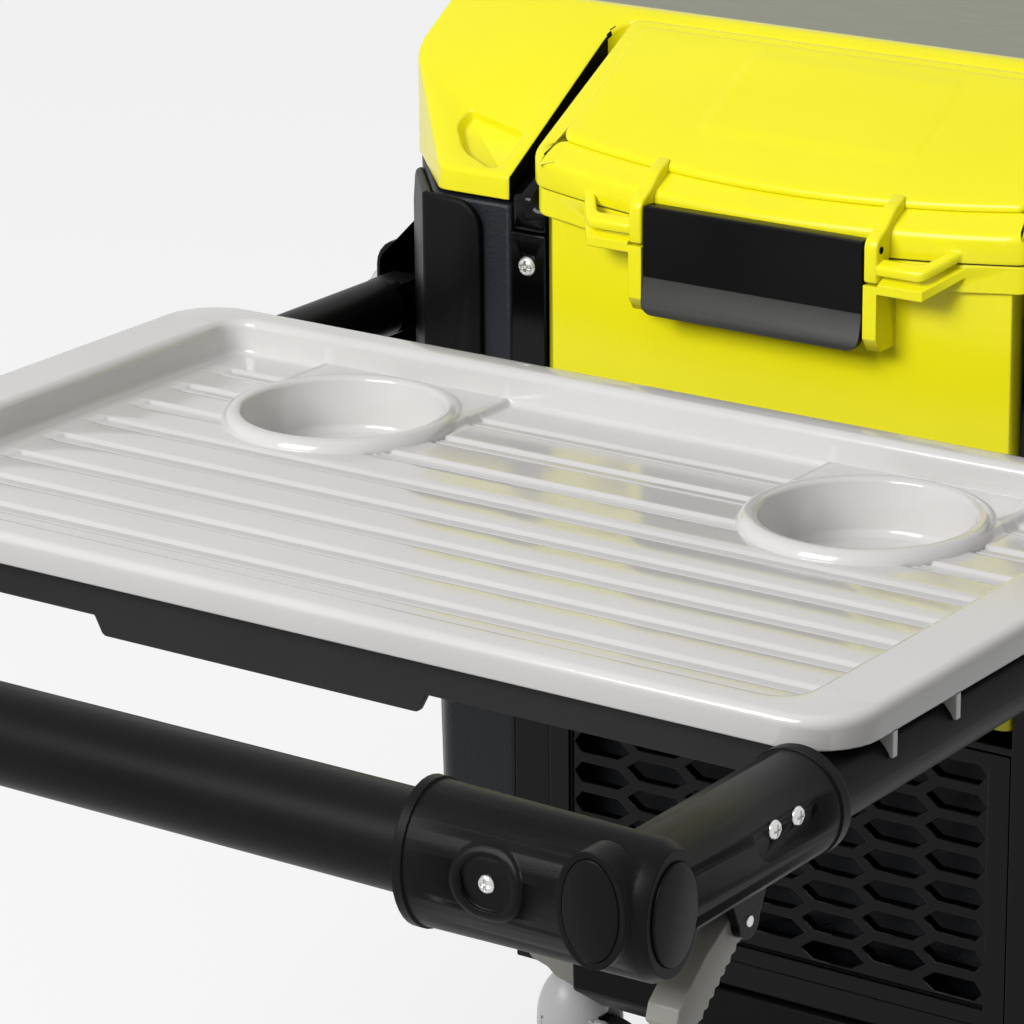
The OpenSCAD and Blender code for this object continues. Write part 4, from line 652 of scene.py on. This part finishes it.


# Coarser grain, in a lighter grey that is a painted highlight on the flared lip.
lip_grain_and_highlight = moulded_plastic("lip_grain_and_highlight", (0.018, 0.018, 0.016), (0.026, 0.026, 0.023), (0.44, 0.54),
                            2200.0, 0.00006)
latch_plate = show("latch_plate", latch_shape(), satin_black, "latch", "bin_latch", crease=38)
latch_plate.data.materials.append(lip_grain_and_highlight)

# Pull handle. Black powder-coated aluminium tubes, joined by moulded corner fittings with
# screwed sleeves, oval end caps and grey release levers.
tube_black = moulded_plastic("tube_black", (0.0030, 0.0030, 0.0030), (0.0040, 0.0040, 0.0040),
                             (0.36, 0.44), 1800.0, 0.00003, shine=0.09)
dish_x, dish_z, dish_wide, dish_tall, bead_wide = 203, 388.5, 25, 23, 4.6
cap_face, sleeve_start = 0.265, -0.455
finish(tube_black, "crossbar", "side_tube_left", "side_tube_right")


def fitting_front(x, z):
    """Front of a corner fitting's tapered oval at a point seen from the front, in millimetres."""
    along = (x - 166.5) / 93.5
    half_deep, half_tall = 21 - 2.2 * along, 26.5 - 1.3 * along
    return -490 - half_deep * math.sqrt(max(1 - ((z - 385.4) / half_tall) ** 2, 0.05))


def add_bead(bm, side):
    """A rounded bead round the screw's dish, laid on the fitting's front and a millimetre high."""
    rows = []
    for out, lift in ((0.5, -0.8), (0.42, 0.55), (0.16, 1.0), (-0.16, 1.0), (-0.42, 0.55), (-0.5, -0.8)):
        half_w, half_h = dish_wide / 2 + out * bead_wide, dish_tall / 2 + out * bead_wide
        outline = rounded_outline(oblong(half_w, -half_h, half_h), [0.96 * min(half_w, half_h)] * 4)
        field = [(dish_x + x, dish_z + z) for x, z in outline]
        points = [bm.verts.new(place(side * x, fitting_front(x, z) - lift, z)) for x, z in field]
        rows.append([bm.edges.new((points[i - 1], points[i])) for i in range(len(points))])
    for first, second in zip(rows, rows[1:]):
        bmesh.ops.bridge_loops(bm, edges=first + second)
    bmesh.ops.recalc_face_normals(bm, faces=bm.faces[:])


for side in ("left", "right"):
    sign = 1 if side == "right" else -1
    fitting = welded_copy(f"corner_{side}")
    add_bead(fitting, sign)
    for v in fitting.verts:
        if v.co.y + front_face < sleeve_start and sign * v.co.x > cap_face:
            v.co.x = sign * cap_face
    show(f"corner_fitting_{side}", fitting, matt_black, "handle", f"corner_{side}")
    softened(f"tube_eye_{side}", matt_black, 0)
    softened(f"trigger_{side}", skid_grey, 0.0006)
softened("end_caps", matt_black, 0.0006)
softened("corner_covers", matt_black, 0.0006)
plate_black = moulded_plastic("plate_black", (0.011, 0.011, 0.011), (0.014, 0.014, 0.014),
                              (0.40, 0.48), 1500.0, 0.00003, shine=0.22)
softened("support_plate", plate_black, 0.0006)

# Serving tray. One glossy light grey moulding with drain grooves and two cup holders, whose
# cups hang through holes in the well; ribs under its ends saddle the handle's tubes.
tray_gloss = moulded_plastic("tray_gloss", (0.575, 0.562, 0.552), (0.605, 0.592, 0.582), (0.12, 0.15),
                             200.0, 0.00001, coat=0.15)
cup_across, cup_back = 132.0, -142.6
groove_first, groove_pitch, groove_end = -347.4, 28.87, 218.7
pad_half, pad_rise = 52.6, 3.0
tray_floor, tray_rim, tray_hem, tray_thick = 400, 416.3, 403, 0.003
saddle_rows = (-345, -300, -200, -140)


def tray_height(x, y):
    """Height of the well's floor over its flat, in millimetres: grooves and raised pads."""
    groove = groove_first + groove_pitch * kept_between(round((y - groove_first) / groove_pitch), 0, 8)
    off = abs(y - groove)
    sunk = 0.0 if off > 5.9 else -0.15 if off > 5.1 else -0.7 if 1.0 < off < 2.0 else -1.5
    sunk *= kept_between((groove_end - abs(x)) / 1.6, 0.0, 1.0)
    on_pad = kept_between((pad_half - abs(abs(x) - cup_across)) / 2.6, 0.0, 1.0)
    raised = on_pad * on_pad * (3 - 2 * on_pad) if y > cup_back else 0.0
    return sunk * (1 - raised) + pad_rise * raised


def tray_shape():
    bm = bmesh.new()
    outer = rounded_outline(oblong(266, -383, -72), [28] * 4)
    inner = rounded_outline(oblong(233.5, -365, -89), [12] * 4)
    hem = rounded_outline(oblong(263, -380, -75), [26] * 4)
    loops = joined_loops(bm, (hem, tray_hem), (outer, tray_rim), (inner, tray_rim), (inner, tray_floor))
    underside = [f for f in bm.faces if all(abs(level(v) - tray_hem) < 0.01 for v in f.verts)]
    bmesh.ops.delete(bm, geom=underside, context="FACES_ONLY")
    bmesh.ops.recalc_face_normals(bm, faces=bm.faces[:])
    round_loops(bm, (loops[1], 5.0), (loops[2], 4.0), (loops[3], 3.0))
    across = [216.8, 217.7, groove_end]
    across += [cup_across + 5 * i for i in range(-11, 12)]
    across += [cup_across + side * x for side in (-1, 1) for x in (50.9, 51.8, pad_half)]
    for x in across:
        for side in (-1, 1):
            cut_across(bm, everything(bm), place(side * x, 0, 0), (1, 0, 0))
    groove_cuts = (-6.1, -5.2, -4.3, -3, -1.5, 0, 1.5, 3, 4.3, 5.2, 6.1)
    back = [groove_first + groove_pitch * i + off for i in range(9) for off in groove_cuts]
    back += [cup_back + 5 * i for i in range(-11, 10)]
    floor = [f for f in bm.faces if f.normal.z > 0.999 and abs(level(f.verts[0]) - tray_floor) < 0.01]
    part = floor + list({e for f in floor for e in f.edges}) + list({v for f in floor for v in f.verts})
    for y in back:
        part = cut_across(bm, part, place(0, y, 0), (0, 1, 0))
    under_cup = [f for f in bm.faces if level(f.verts[0]) < tray_floor + 0.01 and math.hypot(
        abs(f.calc_center_median().x) * 1000 - cup_across,
        (f.calc_center_median().y + front_face) * 1000 - cup_back) < 49]
    bmesh.ops.delete(bm, geom=under_cup, context="FACES")
    for v in bm.verts:
        height = tray_height(v.co.x * 1000, depth(v))
        in_floor = abs(level(v) - tray_floor) < 0.01
        in_pad = depth(v) > -93 and height > 0 and level(v) < tray_floor + height
        if in_floor or in_pad:
            v.co.z = (tray_floor + height) / 1000
    bmesh.ops.solidify(bm, geom=bm.faces[:], thickness=tray_thick)
    wall = [(0, 380), (40.5, 380), (43, 381), (44, 383.4), (44, 403.2), (44.7, 404.4), (46.2, 405),
            (48.8, 405), (50.6, 404.2), (52, 402.4), (53, 400.2), (53, 397.6), (46.5, 397.6),
            (46.5, 379), (45, 377.5), (0, 377.5)]
    for side in (-1, 1):
        points = [bm.verts.new(place(side * cup_across + r, cup_back, z)) for r, z in wall]
        lines = [bm.edges.new(pair) for pair in zip(points, points[1:])]
        bmesh.ops.spin(bm, geom=points + lines, cent=place(side * cup_across, cup_back, 0),
                       axis=(0, 0, 1), angle=math.tau, steps=64, use_merge=True)
    bmesh.ops.remove_doubles(bm, verts=bm.verts[:], dist=1e-6)
    bmesh.ops.recalc_face_normals(bm, faces=bm.faces[:])
    bm.from_mesh(kept_part("tray", lambda middle: middle.z < 0.4128 and abs(middle.x) > 0.2425 and any(
        -0.0001 <= middle.y + front_face - y / 1000 <= 0.0031 for y in saddle_rows)))
    return bm


show("tray_moulding", tray_shape(), tray_gloss, "serving_tray", "tray", crease=38)

# Studio. A pale floor that runs on to the horizon, a broad soft lamp in front and above, and a
# weak one overhead; the camera and reflections see one even pale grey.
floor_half = 14.0
floor_glow, backdrop_glow, fill_light = 0.768, 0.915, 0.40


def seen_directly(tree):
    """1 where the camera, a reflection or a see-through ray looks at the surface."""
    rays = tree.nodes.new("ShaderNodeLightPath")
    first, second = tree.nodes.new("ShaderNodeMath"), tree.nodes.new("ShaderNodeMath")
    first.operation = second.operation = "MAXIMUM"
    tree.links.new(rays.outputs["Is Camera Ray"], first.inputs[0])
    tree.links.new(rays.outputs["Is Glossy Ray"], first.inputs[1])
    tree.links.new(first.outputs["Value"], second.inputs[0])
    tree.links.new(rays.outputs["Is Transmission Ray"], second.inputs[1])
    return second.outputs["Value"]


def value_between(tree, factor, low, high):
    """The low value where the factor is 0, the high one where it is 1."""
    node = tree.nodes.new("ShaderNodeMapRange")
    node.inputs["To Min"].default_value = low
    node.inputs["To Max"].default_value = high
    tree.links.new(factor, node.inputs["Value"])
    return node.outputs["Result"]


floor_bm = bmesh.new()
bmesh.ops.create_grid(floor_bm, x_segments=1, y_segments=1, size=floor_half)
floor_mesh = bpy.data.meshes.new("studio_floor")
floor_bm.to_mesh(floor_mesh)
floor_bm.free()
floor = bpy.data.objects.new("studio_floor", floor_mesh)
bpy.context.scene.collection.objects.link(floor)
floor_paint = bpy.data.materials.new("studio_floor")
floor_paint.use_nodes = True
tree = floor_paint.node_tree
paint = tree.nodes["Principled BSDF"]
paint.inputs["Base Color"].default_value = (0.20, 0.20, 0.20, 1)
paint.inputs["Roughness"].default_value = 1.0
paint.inputs["Specular IOR Level"].default_value = 0.0
paint.inputs["Emission Color"].default_value = (1, 1, 1, 1)
glow = value_between(tree, seen_directly(tree), 0.0, floor_glow)
tree.links.new(glow, paint.inputs["Emission Strength"])
floor_mesh.materials.append(floor_paint)

world = bpy.data.worlds.new("studio_world")
bpy.context.scene.world = world
world.use_nodes = True
tree = world.node_tree
backdrop = tree.nodes["Background"]
backdrop.inputs["Color"].default_value = (1, 1, 1, 1)
glow = value_between(tree, seen_directly(tree), fill_light, backdrop_glow)
tree.links.new(glow, backdrop.inputs["Strength"])


def soft_lamp(name, where, aim, size, watts):
    """A rectangular lamp at a place, turned towards a point."""
    data = bpy.data.lights.new(name, "AREA")
    data.shape = "RECTANGLE"
    data.size, data.size_y = size
    data.energy = watts
    lamp = bpy.data.objects.new(name, data)
    bpy.context.scene.collection.objects.link(lamp)
    lamp.location = where
    lamp.rotation_euler = (Vector(aim) - Vector(where)).to_track_quat("-Z", "Y").to_euler()


soft_lamp("lamp_in_front", (-0.6, -2.7, 2.0), (0, -0.1, 0.35), (1.6, 1.2), 86.0)
soft_lamp("lamp_overhead", (0.2, 0.1, 2.9), (0, 0.1, 0.4), (1.8, 1.8), 3.0)
bpy.context.scene.view_settings.view_transform = "Standard"
